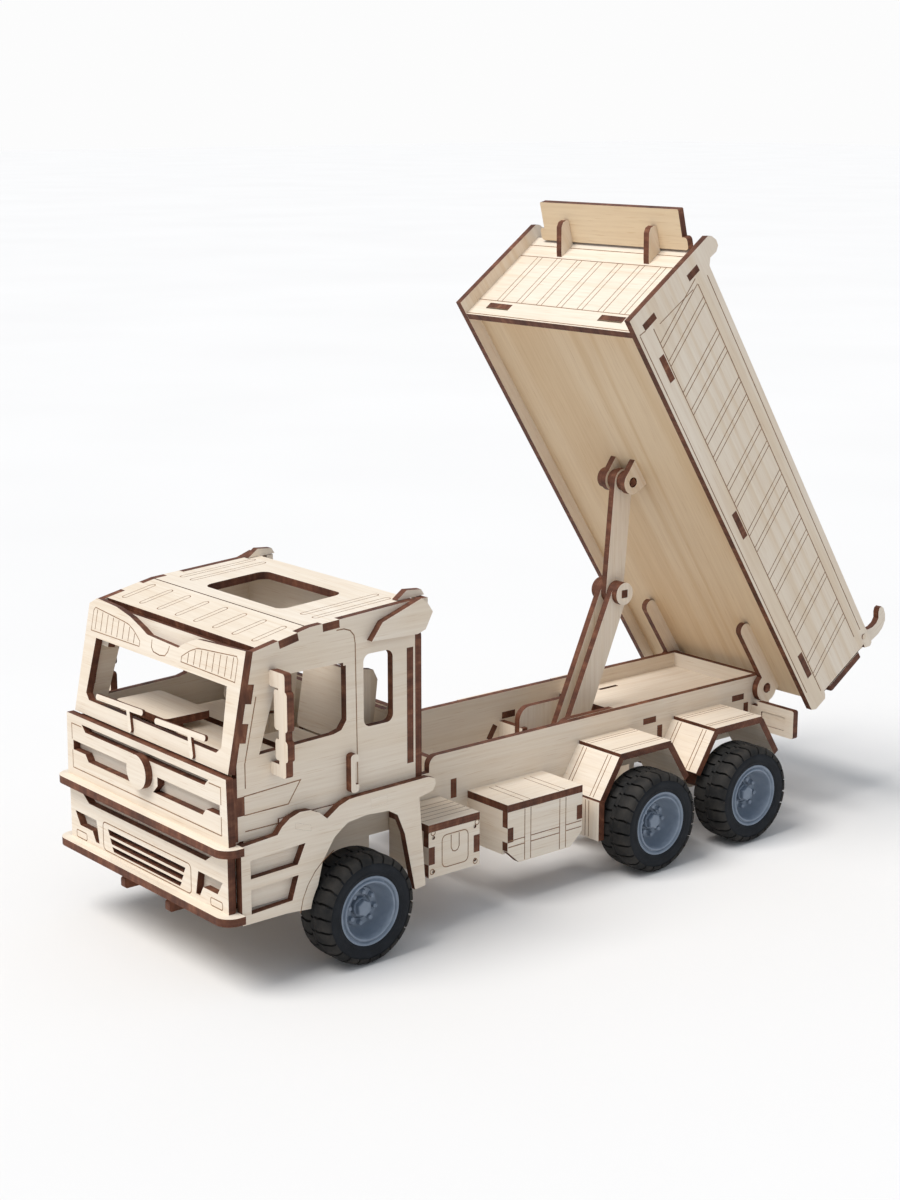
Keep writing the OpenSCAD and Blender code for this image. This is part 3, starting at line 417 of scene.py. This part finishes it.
def dress(obj, kind, small_ends=False):
    """Gives each flat part of a plate its veneer or its burnt edge."""
    mesh = obj.data
    polys, nrm, area, pts = triangle_data(mesh)
    owner, links = {}, []
    whole, flat = Groups(len(polys)), Groups(len(polys))
    for i, p in enumerate(polys):
        for a, b in zip(p, p[1:] + p[:1]):
            e = (min(a, b), max(a, b))
            for j in owner.setdefault(e, []):
                whole.join(i, j)
                if nrm[i] @ nrm[j] > 0.9995:
                    flat.join(i, j)
            owner[e].append(i)
    solids, patches = {}, {}
    for i in range(len(polys)):
        solids.setdefault(whole.find(i), []).append(i)
        patches.setdefault(flat.find(i), []).append(i)
    normal_of = {}
    for root, members in solids.items():
        tally = {}
        for i in members:
            k = tuple(np.round(np.abs(nrm[i]), 2))
            if k not in tally:
                tally[k] = [0.0, nrm[i]]
            tally[k][0] += area[i]
        normal_of[root] = max(tally.values(), key=lambda t: t[0])[1]
    slots, index = [], np.zeros(len(polys), np.int32)

    def slot_of(m):
        if m not in slots:
            slots.append(m)
        return slots.index(m)

    for members in patches.values():
        i0 = members[0]
        main = normal_of[whole.find(i0)]
        n = nrm[i0]
        ids = sorted({v for i in members for v in polys[i]})
        total = sum(area[i] for i in members)
        rim = {}
        for i in members:
            for a, b in zip(polys[i], polys[i][1:] + polys[i][:1]):
                e = (min(a, b), max(a, b))
                rim[e] = rim.get(e, 0) + 1
        round_length = sum(np.linalg.norm(pts[a] - pts[b]) for (a, b), k in rim.items() if k == 1)
        mean_width = 2 * total / max(round_length, 1e-9)
        outline = [e for e, k in rim.items() if k == 1]
        outline.sort(key=lambda e: -np.linalg.norm(pts[e[0]] - pts[e[1]]))
        width, along = least_width(pts[ids], n, [pts[a] - pts[b] for a, b in outline[:10]])
        is_wide = width > EDGE_WIDTH and mean_width > MEAN_EDGE_WIDTH and total > SMALL_AREA
        is_face = abs(n @ main) > 0.985 or is_wide
        if small_ends and total < SMALL_AREA:
            is_face = False
        if is_face:
            ext = []
            if kind != "truck":
                axes = [np.array(BED_A), np.array([0, 1, 0]), np.array(BED_H)]
            else:
                axes = [np.array([1, 0, 0]), np.array([0, 1, 0]), np.array([0, 0, 1])]
            for d in axes:
                s = pts[ids] @ d
                ext.append((s.max() - s.min()) * (1 - min(1, abs(n @ d)) ** 4))
            grain = int(np.argmax(ext))
            m = faces.get(kind + "_" + "xyz"[grain], faces["bed_z"])
        else:
            thin = main if abs(n @ main) < 0.5 else along
            m = edge_material(Vector(thin)) if width < EDGE_WIDTH or small_ends else plain_edge
        index[members] = slot_of(m)
    mesh.materials.clear()
    for m in slots:
        mesh.materials.append(m)
    mesh.polygons.foreach_set("material_index", index)
    mesh.update()


def single(obj, material):
    obj.data.materials.clear()
    obj.data.materials.append(material)


dowels = ("hinge_pegs", "axles")
for body, members in record["behaviour"]["bodies"].items():
    kind = "bed" if body in ("bed", "tailgate") else "truck"
    for name in members:
        if name.startswith(("tyre_", "rim_")):
            continue
        if name in dowels:
            single(frame["nodes"][name], dowel_material)
        else:
            # the bed floor and canopy board get the birch with painted shade
            tan = name in ("bed_floor", "canopy_board")
            dress(frame["nodes"][name], "tan" if tan else kind, name in ("bracket_pin", "prop_pins"))


# ---------------------------------------------------------------- engraved lines
# width in millimetres of the thinner engraved lines
FINE = 0.46


class Marks:
    """Thin engraved lines lying on flat faces, gathered into one mesh for one body."""

    def __init__(self, name, body):
        self.name, self.body = name, body
        self.v, self.f = [], []

    def line(self, plane, pts, width=0.5, closed=False, lift=0.035):
        p = [Vector((a, b)) for a, b in pts]
        if closed:
            p = p + [p[0]]
        n = len(p)
        rows = []
        for i in range(n):
            if closed and i in (0, n - 1):
                before, after = p[1] - p[0], p[-1] - p[-2]
            else:
                before = p[i] - p[i - 1] if i else p[1] - p[0]
                after = p[i + 1] - p[i] if i < n - 1 else p[-1] - p[-2]
            d = (before.normalized() + after.normalized())
            d = d.normalized() if d.length > 1e-6 else before.normalized()
            s = Vector((-d.y, d.x))
            cosine = max(0.35, abs(d.dot(before.normalized())))
            w = width / 2 / cosine
            q = [p[i] + s * w, p[i] + s * w * 0.55, p[i] - s * w * 0.55, p[i] - s * w]
            heights = [-0.01, lift, lift, -0.01]
            rows.append([plane.at(c.x, c.y, h) for c, h in zip(q, heights)])
        base = len(self.v)
        for r in rows:
            self.v += r
        for i in range(n - 1):
            for k in range(3):
                a = base + i * 4 + k
                self.f.append((a, a + 1, a + 5, a + 4))

    def box(self, plane, a0, b0, a1, b1, r=0.0, **kw):
        if r <= 0:
            self.line(plane, [(a0, b0), (a1, b0), (a1, b1), (a0, b1)], closed=True, **kw)
            return
        pts = []
        corners = ((a1 - r, b0 + r, -90), (a1 - r, b1 - r, 0), (a0 + r, b1 - r, 90), (a0 + r, b0 + r, 180))
        for cx, cy, t0 in corners:
            for k in range(5):
                t = math.radians(t0 + 22.5 * k)
                pts.append((cx + r * math.cos(t), cy + r * math.sin(t)))
        self.line(plane, pts, closed=True, **kw)

    def ring(self, plane, a, b, r, **kw):
        pts = [(a + r * math.cos(t * math.pi / 12), b + r * math.sin(t * math.pi / 12)) for t in range(24)]
        self.line(plane, pts, closed=True, **kw)

    def build(self, slot="plywood"):
        mesh = bpy.data.meshes.new(self.name)
        mesh.from_pydata([tuple(v) for v in self.v], [], self.f)
        mesh.materials.append(line_material)
        mesh.update()
        bm = bmesh.new()
        bm.from_mesh(mesh)
        bmesh.ops.recalc_face_normals(bm, faces=bm.faces)
        bm.to_mesh(mesh)
        bm.free()
        obj = bpy.data.objects.new(self.name, mesh)
        bpy.context.scene.collection.objects.link(obj)
        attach(obj, self.body)
        return obj


# bed sides: rails along both edges and slanted double ribs
for side, tag in ((1, "left"), (-1, "right")):
    m = Marks("engraving_bed_side_" + tag, "bed")
    p = Plane(BED_O + Y * side * 52.5, BED_A, BED_H, Y * side)
    for h, a0, a1 in ((1.5, 9, 205), (9.0, 3, 203), (38.3, 9.1, 203)):
        m.line(p, [(a0, h), (a1, h)])
    m.line(p, [(9.1, 43.1), (203, 44.4)])
    m.line(p, [(205.4, 1.5), (205.0, 5.0)])
    m.line(p, [(202.6, 12.8), (202.9, 35.0)], width=0.4)
    for i in range(8):
        for d in (0.0, 9.0):
            a = 195.9 - i * 24.75 - d
            if a < 6:
                continue
            for e in (0.0, 2.5):
                m.line(p, [(a - e, 9.2), (a - e + 10, 38.1)], width=FINE)
    m.build()

# front wall of the bed: rails and upright double ribs
m = Marks("engraving_bed_front_wall", "bed")
p = Plane(WALL_O + WALL_N * 3, Y, WALL_V, WALL_N)
for h in (1.0, 9.8, 38.8, 45.8):
    m.line(p, [(-49.5, h), (49.5, h)])
for i in range(7):
    for e in (-1.5, 1.5):
        y = 12.3 * (i - 3) + e
        m.line(p, [(y, 9.9), (y, 38.7)], width=FINE)
m.build()

# cab sides: door outline, handle recess line and the blade-shaped panel
for side, tag in ((1, "left"), (-1, "right")):
    m = Marks("engraving_cab_side_" + tag, "truck")
    p = side_plane(side, 52.5)
    m.line(p, [(141.5, 75.0), (141.5, 84.0), (136.2, 107.5)])
    m.line(p, [(101.0, 125.6), (97.6, 125.6), (94.9, 124.6), (93.2, 122.6), (92.7, 119.5), (92.1, 63.9)])
    m.line(p, [(142.3, 72.2), (117.8, 73.3), (123.3, 65.4), (142.2, 65.2)])
    m.line(p, [(127, 59.2), (142, 59.2)])
    m.build()

# nose panels
m = Marks("engraving_nose", "truck")
p = nose_plane(151)
for s in (-1, 1):
    m.line(p, [(s * 51.2, 59.3), (s * 51.2, 66.3)])
    m.line(p, [(s * 51.2, 70.7), (s * 51.2, 77.0), (s * 43.8, 77.0)])
m.line(p, [(-51.2, 59.3), (51.2, 59.3)])
m.box(p, -30.5, 31.5, 30.5, 42.8, r=1.8)
for s in (-1, 1):
    m.box(p, min(s * 43.0, s * 50.6), 31.3, max(s * 43.0, s * 50.6), 34.2, r=0.8, width=FINE)
m.build()

# brow above the windscreen: two louvre panels with upright slots and a middle loop
m = Marks("engraving_brow", "truck")
p = Plane(FRONT_O + FRONT_N * 3, Y, FRONT_V, FRONT_N)
for s in (-1, 1):
    outer, inner = 48.6, 14.2

    def crown(y):
        t = max(0.0, min(1.0, (abs(y) - inner) / 12.0))
        return 31.2 + 5.0 * math.sin(t * math.pi / 2) + max(0.0, (abs(y) - 26.0)) * 0.075

    stations = (14.2, 15.4, 17.0, 19.5, 23.0, 27.0, 34.0, 41.0, 47.6)
    edge = [(s * inner, 29.2)] + [(s * y, crown(y)) for y in stations]
    edge += [(s * outer, crown(47.6) - 1.2), (s * outer, 28.8)]
    m.line(p, edge, closed=True, width=0.4)
    for k in range(8):
        y = 18.3 + k * 3.95
        m.line(p, [(s * y, 29.6), (s * y, crown(y) - 0.5)], width=FINE)
loop = [(-6.3, 33.3), (-6.0, 30.6), (-4.4, 29.2), (0.0, 28.7), (3.4, 29.2), (5.0, 31.0), (5.6, 33.2)]
m.line(p, loop, width=FINE)
m.build()

# roof: rows of long capsules
m = Marks("engraving_roof", "truck")
for slope, is_front in ((11.6, True), (3.5, False)):
    t = math.radians(slope)
    u = Vector((math.cos(t), 0, -math.sin(t)))
    n = Vector((math.sin(t), 0, math.cos(t)))
    p = Plane((112.7 + OX, 0, 128.6), u, Y, n)
    if is_front:
        for k in range(8):
            y = -43.4 + k * 12.4
            m.box(p, 4.0, y - 1.3, 18.6, y + 1.3, r=1.28, width=0.44)
    else:
        for y in (-43.5, -36.4, 36.4, 43.5):
            m.box(p, -43.0, y - 1.3, -8.0, y + 1.3, r=1.28, width=0.44)
m.build()

# step panels, fuel tanks, battery boxes
m = Marks("engraving_side_boxes", "truck")
for s in (-1, 1):
    p = side_plane(s, 56.4)
    fender = []
    for k in range(7):
        t = math.radians(172 - k * 11.5)
        fender.append((95.4 + 26.4 * math.cos(t), 21.05 + 26.4 * math.sin(t)))
    fender = [(2 * 95.4 - a, b) for a, b in fender]
    m.line(p, [q for q in fender if 23 < q[1] < 46], width=0.4)
    p = side_plane(s, 51.7)
    for x in (6.1, 9.3, -12.7, -9.4):
        m.line(p, [(x, 17.2), (x, 38.4)], width=FINE)
    for z in (24.1, 26.6):
        m.line(p, [(-21.3, z), (-12.9, z)], width=FINE)
        m.line(p, [(-9.2, z), (5.9, z)], width=FINE)
        m.line(p, [(9.5, z), (17.9, z)], width=FINE)
    t = Plane((OX, 0, 41.6), X, Y * s, Z)
    for x in (6.1, 9.3, -12.7, -9.4):
        m.line(t, [(x, 30.2), (x, 51.2)], width=FINE)
    p = side_plane(s, 52.2)
    for x, z in ((56.4, 39.1), (34.5, 38.6), (35.4, 22.9), (56.9, 23.6)):
        m.ring(p, x, z, 1.0, width=0.42)
    m.box(p, 39, 24, 52, 37, r=2.2, width=FINE)
    loop = [(43.5, 36.5), (43.5, 31.2), (44.3, 29.8), (45.5, 29.4), (46.7, 29.8), (47.5, 31.2), (47.5, 36.5)]
    m.line(p, loop, width=FINE)
    t = Plane((OX, 0, 42.5), X, Y * s, Z)
    for k in range(5):
        m.line(t, [(33.5, 33.5 + k * 3.4), (58.0, 33.5 + k * 3.4)], width=0.44)
m.build()

# mudguards: double lines near both long edges on the top plates and slopes
m = Marks("engraving_mudguards", "truck")
slope = math.radians(57.4)
guard_lines = (31.0, 33.0, 45.6, 47.6)
for s in (-1, 1):
    for back in (0.0, -56.0):
        t = Plane((OX, 0, 50.4), X, Y * s, Z)
        for y in guard_lines:
            m.line(t, [(-71.3 + back, y), (-43.1 + back, y)], width=FINE)
        fwd = Vector((math.cos(slope), 0, -math.sin(slope)))
        out = Vector((math.sin(slope), 0, math.cos(slope)))
        t = Plane((-42.6 + back + OX, 0, 50.4), fwd, Y * s, out)
        for y in guard_lines:
            m.line(t, [(1.8, y), (20.5, y)], width=FINE)
        rear = Vector((-math.cos(slope), 0, -math.sin(slope)))
        out = Vector((-math.sin(slope), 0, math.cos(slope)))
        t = Plane((-71.8 + back + OX, 0, 50.4), rear, Y * s, out)
        for y in guard_lines:
            m.line(t, [(1.8, y), (20.5, y)], width=FINE)
    t = Plane((-30.2 + OX, 0, 0), Y * s, Z, X)
    for y in guard_lines:
        m.line(t, [(y - 1.0, 16.4), (y - 1.0, 31.8)], width=FINE)
m.build()

# burnt ends of the plates and finger tabs that lie flush in the fuel tanks and battery boxes
class Patches:
    """Flat patches of burnt edge, a hair proud of a flush plate or tab end."""

    def __init__(self, name, body):
        self.name, self.body, self.v, self.f, self.mats, self.idx = name, body, [], [], [], []

    def quad(self, plane, a0, b0, a1, b1, thin, lift=0.03):
        n = len(self.v)
        self.v += [plane.at(a, b, lift) for a, b in ((a0, b0), (a1, b0), (a1, b1), (a0, b1))]
        self.f.append((n, n + 1, n + 2, n + 3))
        m = edge_material(thin)
        if m not in self.mats:
            self.mats.append(m)
        self.idx.append(self.mats.index(m))

    def build(self):
        mesh = bpy.data.meshes.new(self.name)
        mesh.from_pydata([tuple(v) for v in self.v], [], self.f)
        for m in self.mats:
            mesh.materials.append(m)
        mesh.polygons.foreach_set("material_index", self.idx)
        mesh.update()
        obj = bpy.data.objects.new(self.name, mesh)
        bpy.context.scene.collection.objects.link(obj)
        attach(obj, self.body)
        return obj


q = Patches("burnt_ends_of_side_boxes", "truck")
for s in (-1, 1):
    # fuel tank: top plate ends, finger tabs
    p = side_plane(s, 51.7)
    q.quad(p, -21.7, 38.6, 18.3, 41.6, Z)
    q.quad(p, 15.3, 26.0, 18.3, 32.0, X)
    q.quad(p, -21.7, 27.5, -18.7, 33.5, X)
    for x, n in ((18.3, X), (-21.7, -X)):
        e = Plane((x + OX, 0, 0), Y * s, Z, n)
        q.quad(e, 27.4, 38.6, 51.7, 41.6, Z)
        if n == X:
            q.quad(e, 48.7, 22.4, 51.7, 26.0, Y)
            q.quad(e, 48.7, 32.0, 51.7, 38.6, Y)
        else:
            q.quad(e, 48.7, 22.4, 51.7, 27.5, Y)
            q.quad(e, 48.7, 33.5, 51.7, 38.6, Y)
    # battery box
    p = side_plane(s, 52.2)
    q.quad(p, 33.2, 39.5, 58.6, 42.5, Z)
    q.quad(p, 55.6, 26.5, 58.6, 33.5, X)
    q.quad(p, 33.2, 26.5, 36.2, 33.5, X)
    for x, n in ((58.6, X), (33.2, -X)):
        e = Plane((x + OX, 0, 0), Y * s, Z, n)
        q.quad(e, 28.0, 39.5, 52.2, 42.5, Z)
        q.quad(e, 49.2, 21.8, 52.2, 26.5, Y)
        q.quad(e, 49.2, 33.5, 52.2, 39.5, Y)
q.build()

# ---------------------------------------------------------------- wheels
TW = 17.5


def revolve(bm, profile, steps):
    """Closed (radius, width) profile turned about Y. Width 0 is the inner side of the wheel."""
    rings = []
    for k in range(steps):
        t = 2 * math.pi * k / steps
        rings.append([bm.verts.new((r * math.cos(t) * MM, w * MM, r * math.sin(t) * MM)) for r, w in profile])
    n = len(profile)
    for k in range(steps):
        a, b = rings[k], rings[(k + 1) % steps]
        for i in range(n):
            j = (i + 1) % n
            f = bm.faces.new((a[i], a[j], b[j], b[i]))
            f.smooth = True


def arc(cr, cw, r, t0, t1, n):
    """Points (radius, width) on an arc about (cr, cw), from angle t0 to t1 in degrees."""
    angles = [math.radians(t0 + (t1 - t0) * i / n) for i in range(n + 1)]
    return [(cr + r * math.cos(t), cw + r * math.sin(t)) for t in angles]


def finish_mesh(bm, name, materials, angle=32.0):
    bmesh.ops.recalc_face_normals(bm, faces=bm.faces)
    for e in bm.edges:
        if len(e.link_faces) == 2 and e.calc_face_angle(0.0) > math.radians(angle):
            e.smooth = False
    mesh = bpy.data.meshes.new(name)
    bm.to_mesh(mesh)
    bm.free()
    for mat in materials:
        mesh.materials.append(mat)
    return mesh


def swept_block(bm, section, t0, t1, skew, steps=3, material=1):
    """One tread block: a closed (radius, width) section swept from t0 to t1, slanted across the width."""
    rows = []
    for k in range(steps + 1):
        row = []
        for r, w in section:
            t = math.radians(t0 + (t1 - t0) * k / steps + skew(w))
            row.append(bm.verts.new((r * math.cos(t) * MM, w * MM, r * math.sin(t) * MM)))
        rows.append(row)
    n = len(section)
    made = []
    for a, b in zip(rows, rows[1:]):
        for i in range(n):
            j = (i + 1) % n
            made.append(bm.faces.new((a[i], a[j], b[j], b[i])))
    made.append(bm.faces.new(rows[0][::-1]))
    made.append(bm.faces.new(rows[-1]))
    for f in made:
        f.smooth = True
        f.material_index = material


def tyre_mesh():
    bm = bmesh.new()
    half = [
        (12.62, 8.75), (12.62, 1.75), (12.95, 1.05), (13.6, 0.55), (14.3, 0.42), (14.55, 0.30), (14.8, 0.42),
        (15.9, 0.22), (17.0, 0.18), (17.9, 0.34), (18.6, 0.75), (19.15, 1.4), (19.45, 2.3), (19.55, 4.2),
        (19.6, 8.75),
    ]
    profile = half + [(r, TW - w) for r, w in reversed(half[1:-1])]
    revolve(bm, profile, 120)
    for f in bm.faces:
        if all(math.hypot(v.co.x, v.co.z) > 19.0 * MM for v in f.verts):
            f.material_index = 1
    lugs = 24
    step = 360.0 / lugs
    shoulder = [
        (19.2, 7.9), (20.6, 7.8), (20.93, 7.1), (20.98, 5.2), (20.93, 3.6), (20.7, 2.1), (20.2, 1.1),
        (19.5, 0.45), (18.7, 0.12), (18.15, 0.25), (18.7, 1.3), (19.2, 2.4),
    ]

    def wavy(w):
        return w * 0.30 + 1.5 * math.sin(w * 0.75)

    other = [(r, TW - w) for r, w in shoulder]
    centre = [(19.2, 7.6), (20.55, 7.7), (20.7, 8.2), (20.72, 8.75), (20.7, 9.3), (20.55, 9.8), (19.2, 9.9)]
    for i in range(lugs):
        swept_block(bm, shoulder, i * step, i * step + step * 0.83, wavy)
        t0 = (i + 0.5) * step
        swept_block(bm, other, t0, t0 + step * 0.83, lambda w: wavy(TW - w))
        t0 = (i + 0.3) * step
        swept_block(bm, centre, t0, t0 + step * 0.86, lambda w: 2.6 - (w - 8.75) * 0.8)
    return finish_mesh(bm, "tyre_form", [rubber, tread_rubber], 50)


def rim_mesh():
    bm = bmesh.new()
    profile = [
        (2.25, 2.4), (6.6, 2.4), (6.9, 2.9), (7.1, 5.2), (8.0, 8.2), (9.2, 8.2), (11.3, 1.4), (12.2, 1.0),
        (13.1, 0.9), (13.2, 1.2), (12.58, 1.9), (12.58, 15.9),
    ]
    profile += arc(12.95, 16.45, 0.42, -40, 130, 8)
    profile += [(12.45, 16.62), (12.15, 16.30), (11.95, 16.05), (11.75, 16.05), (11.6, 16.25)]
    profile += arc(11.12, 16.5, 0.45, 20, 165, 7)
    profile += [
        (10.55, 16.1), (10.35, 15.2), (10.05, 13.6), (9.6, 11.9), (9.05, 10.5), (8.5, 9.75), (7.9, 9.4),
        (7.55, 9.4), (7.4, 10.2), (7.2, 10.5), (4.7, 10.5), (4.5, 10.3), (4.35, 9.6), (2.25, 9.6),
    ]
    revolve(bm, profile, 112)

    def prism(cx, cz, sections, sides, phase):
        """Stack of (radius, width) rings with flat ends, standing off the middle of the wheel."""
        rows = []
        for r, w in sections:
            row = []
            for k in range(sides):
                t = phase + 2 * math.pi * k / sides
                row.append(bm.verts.new(((cx + r * math.cos(t)) * MM, w * MM, (cz + r * math.sin(t)) * MM)))
            rows.append(row)
        for a, b in zip(rows, rows[1:]):
            for k in range(sides):
                j = (k + 1) % sides
                f = bm.faces.new((a[k], a[j], b[j], b[k]))
                f.smooth = sides > 8
        bm.faces.new(rows[0])
        bm.faces.new(rows[-1][::-1])

    # round collar, hexagonal cap and the ring of nuts
    prism(0, 0, [(3.7, 9.5), (3.7, 11.4), (3.45, 11.7)], 24, 0)
    prism(0, 0, [(3.3, 11.6), (3.3, 13.2), (3.0, 13.6), (2.5, 13.7)], 6, math.pi / 6)
    nuts = 8
    for i in range(nuts):
        t = 2 * math.pi * i / nuts + 0.2
        nut = [(1.2, 10.4), (1.2, 10.8), (1.0, 10.85), (1.0, 11.8), (0.85, 12.1), (0.45, 12.25)]
        prism(5.9 * math.cos(t), 5.9 * math.sin(t), nut, 16, 0)
    return finish_mesh(bm, "rim_form", [grey_plastic], 34)


tyre_form, rim_form = tyre_mesh(), rim_mesh()
for place in ("front", "mid", "rear"):
    for side, tag in ((1, "left"), (-1, "right")):
        lo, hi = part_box("tyre_%s_%s" % (place, tag))
        centre = (lo + hi) / 2
        inner = lo.y if side > 0 else hi.y
        for form, kind in ((tyre_form, "tyre"), (rim_form, "rim")):
            o = bpy.data.objects.new("%s_detail_%s_%s" % (kind, place, tag), form)
            bpy.context.scene.collection.objects.link(o)
            turn = Matrix.Identity(4) if side > 0 else Matrix.Rotation(math.pi, 4, "Z")
            roll = Matrix.Rotation(math.radians({"front": 4, "mid": 9, "rear": 1}[place]), 4, "Y")
            o.matrix_world = Matrix.Translation((centre.x, inner, centre.z)) @ turn @ roll
            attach(o, "wheel_%s_%s" % (place, tag))
            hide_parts("%s_%s_%s" % (kind, place, tag))

# ---------------------------------------------------------------- floor, light and camera
floor_material, nodes, links, bsdf = new_material("pale_floor")
tc = add(nodes, "TexCoord")
fn = add(nodes, "TexNoise")
fn.inputs["Scale"].default_value = 3
links.new(tc.outputs["Object"], fn.inputs["Vector"])
fc = ramp(nodes, [(0.3, (0.80, 0.78, 0.76)), (0.7, (0.82, 0.80, 0.78))])
links.new(fn.outputs["Fac"], fc.inputs["Fac"])
links.new(fc.outputs["Color"], bsdf.inputs["Base Color"])
bsdf.inputs["Roughness"].default_value = 0.9
bsdf.inputs["Specular IOR Level"].default_value = 0.1
bm = bmesh.new()
bmesh.ops.create_grid(bm, x_segments=8, y_segments=8, size=12.0)
floor_mesh = bpy.data.meshes.new("floor")
bm.to_mesh(floor_mesh)
bm.free()
floor_mesh.materials.append(floor_material)
floor = bpy.data.objects.new("floor", floor_mesh)
bpy.context.scene.collection.objects.link(floor)

scene = bpy.context.scene
world = bpy.data.worlds.new("studio")
scene.world = world
world.use_nodes = True
wn, wl = world.node_tree.nodes, world.node_tree.links
sky = wn["Background"]
sky.inputs["Color"].default_value = (0.88, 0.96, 1.06, 1)
sky.inputs["Strength"].default_value = 0.56
backdrop = wn.new("ShaderNodeBackground")
backdrop.inputs["Color"].default_value = (0.975, 0.975, 0.975, 1)
backdrop.inputs["Strength"].default_value = 1.0
path = wn.new("ShaderNodeLightPath")
either = wn.new("ShaderNodeMixShader")
wl.new(path.outputs["Is Camera Ray"], either.inputs[0])
wl.new(sky.outputs[0], either.inputs[1])
wl.new(backdrop.outputs[0], either.inputs[2])
wl.new(either.outputs[0], wn["World Output"].inputs["Surface"])
scene.view_settings.view_transform = "Standard"

data = bpy.data.lights.new("key", "SUN")
data.energy = 2.65
data.angle = math.radians(32)
data.color = (1.0, 0.985, 0.965)
key = bpy.data.objects.new("key", data)
scene.collection.objects.link(key)
key.rotation_mode = "QUATERNION"
key.rotation_quaternion = Vector((-0.50, 0.12, -0.86)).to_track_quat("-Z", "Y")

cam = bpy.data.cameras.new("camera")
cam.sensor_width = 36
cam.lens = 63.086
camera = bpy.data.objects.new("camera", cam)
scene.collection.objects.link(camera)
yaw, pitch = math.radians(-129.76215), math.radians(-13.31995)
camera.location = ((534.7828 + OX) * MM, 637.1361 * MM, 308.8183 * MM)
look = Vector((math.cos(pitch) * math.cos(yaw), math.cos(pitch) * math.sin(yaw), math.sin(pitch)))
camera.rotation_mode = "QUATERNION"
camera.rotation_quaternion = look.to_track_quat("-Z", "Y")
cam.clip_start = 0.01
cam.clip_end = 60
scene.camera = camera
